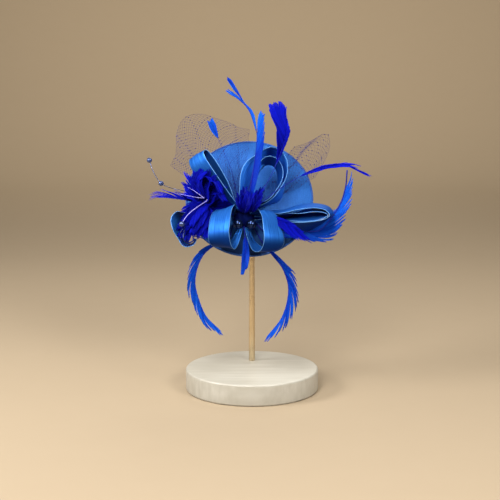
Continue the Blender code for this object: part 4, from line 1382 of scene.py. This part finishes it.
@dataclass
class Knot:
    """The wrapped centre knot with its two beads."""

    beads: tuple = (("centre_bead_left", -122, 38), ("centre_bead_right", -60, 38))
    bead_radius: float = 5.75
    bead_clear: float = 0.3
    fold: float = 0.05
    fold_waves: tuple = (14, 5)
    fold_twist: float = 1.2
    satin_run: float = 0.01

    def wrap(self, room: Workroom) -> None:
        """The satin wrapped over the knot."""
        obj = ball("knot_wrap", segments=96, rings=48)
        x, y, _ = get_points(obj).T
        turn = np.arctan2(y, x)
        across, up = self.fold_waves
        wave = np.sin(x * across + y * up + self.fold_twist * np.sin(turn * 2))
        fold = 1 - self.fold * (0.5 + 0.5 * wave)
        # A tone of 1 everywhere, so no painted shade from turned faces; the knot's near-black satin is itself
        # the painted shade.
        write_values(obj, edge=0.0, tone=1.0, along=turn * self.satin_run)
        KNOT.cover(obj, fold[:, None])
        room.dress(obj, "navy_satin", "centre_knot")

    def build(self, room: Workroom) -> None:
        """Builds the wrap and the beads."""
        self.wrap(room)
        for name, azimuth, elevation in self.beads:
            centre = KNOT.near(azimuth, elevation, self.bead_radius + self.bead_clear)
            room.dress(pearl(f"{name}_pearl", centre, self.bead_radius), "navy_pearl", name)


DIMPLE_DEPTH = 0.12
DIMPLE_WIDTH = 0.12


def pearl(name: str, centre: np.ndarray, radius: float) -> bpy.types.Object:
    """A round pearl whose drilled ends are dimpled.

    Args:
        name: Its name.
        centre: Its centre in the hat's frame.
        radius: Its radius in millimetres.

    Returns:
        The pearl, at its place in the part's frame.
    """
    obj = ball(name, segments=48, rings=32)
    points = get_points(obj)
    from_axis = np.hypot(points[:, 0], points[:, 1])
    dimple = 1 - DIMPLE_DEPTH * np.exp(-((from_axis / DIMPLE_WIDTH) ** 2))
    points = points[:, [2, 0, 1]] * dimple[:, None]
    set_points(obj, to_part(centre + points * radius))
    soften(obj)
    return obj


@dataclass(frozen=True)
class Net:
    """A gathered net: the arc of the knot it is sewn to, in degrees, and its outer edge."""

    name: str
    arc: tuple
    cells: tuple
    folds: float
    outer: tuple
    thread: float = 0.26
    dot: float = 0.7
    ring_clear: float = 1.5
    lift: float = 1.6
    billow: float = 1.1
    slack: float = 5.0
    slack_waves: tuple = ((19, 7), (9, 23))
    crowding: float = 0.85
    dots_every: int = 6
    straight_within: float = 1e-5
    border: float = 0.4999

    def place(self, over: np.ndarray, out: np.ndarray) -> np.ndarray:
        """Where a point of the net lies.

        Args:
            over: How far round the net it is, from 0 to 1.
            out: How far out from the knot it is, from 0 to 1.

        Returns:
            The points, one for each pair of shares.
        """
        turn = np.radians(self.arc[0] + (self.arc[1] - self.arc[0]) * over)
        ring = KNOT.size[1] + self.ring_clear
        x = KNOT.centre[0] + ring * np.cos(turn)
        y = KNOT.centre[1] + ring * np.sin(turn)
        inner = np.stack((x, y, dome_height(x, y) + self.lift), axis=1)
        edge = read(smooth_path(self.outer), over)
        points = above_dome(inner + (edge - inner) * out[:, None], self.lift)
        slack = self.slack * out * (1 - out)
        for axis, (outwards, round_it) in enumerate(self.slack_waves):
            points[:, axis] += slack * np.sin(out * outwards + over * round_it)
        points[:, 2] += self.billow * out * (1 + np.sin(over * self.folds * 2 * math.pi + out * 2))
        return points

    def leave_diamonds(self, obj: bpy.types.Object) -> None:
        """Dissolves the straight edges inside the net, so that only the diamonds are left."""
        ends = get_points(obj)[listed(obj.data.edges, "vertices", 2, int)][:, :, :2]
        straight = (np.abs(ends[:, 0] - ends[:, 1]) < self.straight_within).any(axis=1)
        inside = (np.abs(ends.mean(axis=1)) < self.border).all(axis=1)
        pick(obj, "edges", straight & inside)
        with editing(everything=False):
            bpy.ops.mesh.dissolve_edges(use_verts=False)

    def build(self, room: Workroom) -> None:
        """Knots the diamonds, then the dots at their crossings."""
        obj = grid(f"{self.name}_threads", *self.cells)
        with editing():
            bpy.ops.mesh.select_mode(type="EDGE")
            bpy.ops.mesh.poke()
        self.leave_diamonds(obj)
        over, out = (get_points(obj)[:, :2] + 0.5).T
        set_points(obj, to_part(self.place(over, out**self.crowding)))
        knots = get_points(obj)[:: self.dots_every]
        apply_modifier(obj, "WIREFRAME", thickness=self.thread * MM, use_even_offset=False, use_boundary=True)
        room.dress(obj, "blue_net", self.name)
        sizes = {"subdivisions": 1, "radius": self.dot * MM}
        dots = []
        for number, place in enumerate(knots):
            add = bpy.ops.mesh.primitive_ico_sphere_add
            dots.append(added(f"{self.name}_dot_{number}", add, location=place, **sizes))
        room.dress(joined(f"{self.name}_dots", dots), "blue_net")


# The two nets that show behind the trims
NETS = (
    Net(
        "veil_left", (96, 139), (30, 26), 5.0,
        (
            (0, 83, 8), (-13, 87, 8), (-36, 97, 9), (-55, 102, 10), (-69, 102, 10), (-79, 92, 11),
            (-84, 77, 12), (-84, 60, 12), (-85, 47, 12), (-90, 34, 12),
        ),
    ),
    Net(
        "veil_right", (62, 32), (14, 24), 3.0,
        ((52, 60, 8), (72, 68, 10), (90, 76, 12), (92, 56, 12), (83, 35, 11), (75, 20, 10)),
    ),
)


@dataclass(frozen=True)
class Spray:
    """A stiff wire with pearls on some of its points, the last one among them."""

    name: str
    look: str
    wire: tuple
    pearls: tuple
    wire_radius: float = 0.38
    wire_points: int = 60
    pearl_radius: float = 3.0

    def build(self, room: Workroom) -> None:
        """Builds the wire, then its pearls."""
        wire = tube(f"{self.name}_wire", smooth_path(self.wire, self.wire_points), self.wire_radius)
        room.dress(wire, self.look, self.name, slot="navy_pearl")
        pearls = []
        for number, index in enumerate(self.pearls):
            centre = np.array(self.wire[index], float)
            pearls.append(pearl(f"{self.name}_pearl_{number}", centre, self.pearl_radius))
        room.dress(joined(f"{self.name}_pearls", pearls), "slate_pearl", slot="navy_pearl")


SPRAYS = (
    Spray(
        "pearl_spray_outer", "slate_pearl",
        (*PAD.root(150, 42), (-72, -1, 19), (-87, 0, 25), (-99, 5, 27), (-108, 19, 28), (-113, 33.6, 28)),
        (-3, -1),
    ),
    Spray(
        "pearl_spray_lower", "pale_quill",
        (
            (-48, -11.2, 22.6), (-47.5, -20, 34), (-55, -30, 43), (-65, -40, 46), (-71, -48, 46),
            (-73.5, -53, 45),
        ),
        (-1,),
    ),
)


@dataclass
class Curl:
    """The glossy stripped quill that curls below the hackles, in two strips."""

    radius: float = 0.95
    narrows: float = 0.6
    points: int = 90
    paths: tuple = (
        (
            *PAD.root(262, 25), (-60, -36, 24), (-68, -48, 38), (-72.7, -57.3, 42), (-75.7, -65, 40),
            (-73.2, -72.5, 38), (-66.8, -75.2, 36), (-60.3, -71.2, 35), (-59.9, -65.2, 35),
        ),
        (
            (-70.5, -53, 40), (-71.1, -62.3, 42), (-71.5, -69, 41), (-66.6, -73, 40), (-61.2, -70.4, 40),
            (-61, -65.5, 39), (-56, -64, 36), (-49, -66, 33),
        ),
    )

    def build(self, room: Workroom) -> None:
        """Builds both strips as one piece."""
        radii = self.radius * (1 - self.narrows * np.linspace(0, 1, self.points) ** 2)
        lines = [smooth_path(path, len(radii)) for path in self.paths]
        strips = [tube(f"curl_{number}", line, radii, rounding=4) for number, line in enumerate(lines)]
        room.dress(joined("quill_curl_strips", strips), "glossy_curl", "quill_curl", slot="royal_feather")


@dataclass
class Stand:
    """The round painted foot and the brass rod."""

    foot_radius: float = 0.075
    foot_height: float = 0.024
    eased: float = 0.0022
    eased_over: float = math.radians(60)
    smooth_under: float = math.radians(40)

    def build(self, room: Workroom) -> None:
        """Turns the foot, eases its edges and finishes the rod."""
        sizes = {"vertices": 160, "radius": self.foot_radius, "depth": self.foot_height}
        place = (0, 0, self.foot_height / 2)
        obj = added("stand_foot_turned", bpy.ops.mesh.primitive_cylinder_add, location=place, **sizes)
        bpy.ops.object.transform_apply(location=True, rotation=True, scale=True)
        corner = {"limit_method": "ANGLE", "angle_limit": self.eased_over}
        apply_modifier(obj, "BEVEL", width=self.eased, segments=5, **corner)
        bpy.ops.object.shade_smooth_by_angle(angle=self.smooth_under)
        room.dress(obj, "ivory_paint", "stand_foot")
        room.repaint("stand_rod", "champagne_brass")
        soften(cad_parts["stand_rod"])


# Floor, lights and camera


@dataclass(frozen=True)
class Lamp:
    """A soft round light: where it stands, its width, its power in watts, its colour and its aim."""

    name: str
    place: tuple
    size: float
    power: float
    colour: tuple
    aim: tuple = (0.0, 0.0, 0.2)

    def build(self) -> None:
        """Puts the light in the scene."""
        data = bpy.data.lights.new(self.name, "AREA")
        data.shape = "DISK"
        data.size = self.size
        data.energy = self.power
        data.color = self.colour
        obj = bpy.data.objects.new(self.name, data)
        obj.location = self.place
        obj.rotation_euler = (Vector(self.aim) - Vector(self.place)).to_track_quat("-Z", "Y").to_euler()
        bpy.context.scene.collection.objects.link(obj)


LAMPS = (
    Lamp("key", (-0.30, -1.00, 1.00), 0.45, 10.5, (1.0, 0.98, 0.95)),
    Lamp("left", (-1.05, -0.35, 0.80), 0.5, 16.5, (1.0, 0.98, 0.96)),
    Lamp("top", (-0.20, -0.40, 1.40), 0.5, 9.0, (1.0, 0.98, 0.95)),
    Lamp("fill", (0.70, -0.95, 0.85), 0.5, 13.0, (1.0, 0.97, 0.93)),
    Lamp("back", (0.3, 0.9, 1.1), 0.8, 5.0, (1.0, 0.94, 0.85)),
    Lamp("backdrop", (0.0, 1.9, 1.6), 1.6, 24.0, (1.0, 0.93, 0.82), (0.0, 3.6, 0.5)),
)


@dataclass
class Studio:
    """The pale floor, the soft lights and the camera."""

    floor_size: float = 8.0
    floor_cells: int = 80
    level_to: float = 2.0
    curve: float = 0.45
    wall: float = 2.5
    floor_tones: tuple = ((0.36, 0.285, 0.195), (0.40, 0.32, 0.225))
    air: tuple = (0.86, 0.80, 0.72, 1.0)
    air_strength: float = 0.27
    lens: float = 85.0
    film: float = 36.0
    camera_at: tuple = (-0.0023, -1.30, 0.378)
    camera_dips: float = math.radians(9.57)

    def floor(self) -> None:
        """A plain pale floor that curves up far away on every side."""
        obj = grid("floor", self.floor_cells, self.floor_cells, self.floor_size)
        points = get_points(obj)
        beyond = np.maximum(np.hypot(points[:, 0], points[:, 1]) - self.level_to, 0)
        points[:, 2] = np.minimum(self.curve * beyond**2, self.wall)
        set_points(obj, points)
        soften(obj)
        shader = Shader("floor_look", Roughness=0.75, Specular_IOR_Level=0.2)
        shader.feed("Base Color", shader.mix(shader.noise(30.0) * 0.2, *self.floor_tones))
        obj.data.materials.append(shader.material)

    def build(self) -> None:
        """Sets up the floor, the lights and the camera."""
        self.floor()
        for lamp in LAMPS:
            lamp.build()
        scene = bpy.context.scene
        scene.world = bpy.data.worlds.new("studio")
        scene.world.use_nodes = True
        background = scene.world.node_tree.nodes["Background"]
        background.inputs["Color"].default_value = self.air
        background.inputs["Strength"].default_value = self.air_strength
        data = bpy.data.cameras.new("camera")
        data.sensor_width = self.film
        data.lens = self.lens
        camera = bpy.data.objects.new("camera", data)
        camera.location = self.camera_at
        camera.rotation_euler = (math.pi / 2 - self.camera_dips, 0.0, 0.0)
        scene.collection.objects.link(camera)
        scene.camera = camera
        scene.view_settings.view_transform = "Standard"


def main() -> None:
    """Builds every part of the fascinator and its stand, then the studio."""
    logging.basicConfig(level=logging.INFO, format="%(message)s")
    room = Workroom()
    pieces = (Stand(), Hat(), Knot(), *RIBBONS, Plumes(), HackleCluster(), *NETS, *SPRAYS, Curl())
    for piece in pieces:
        piece.build(room)
    Studio().build()


if __name__ == "__main__":
    main()
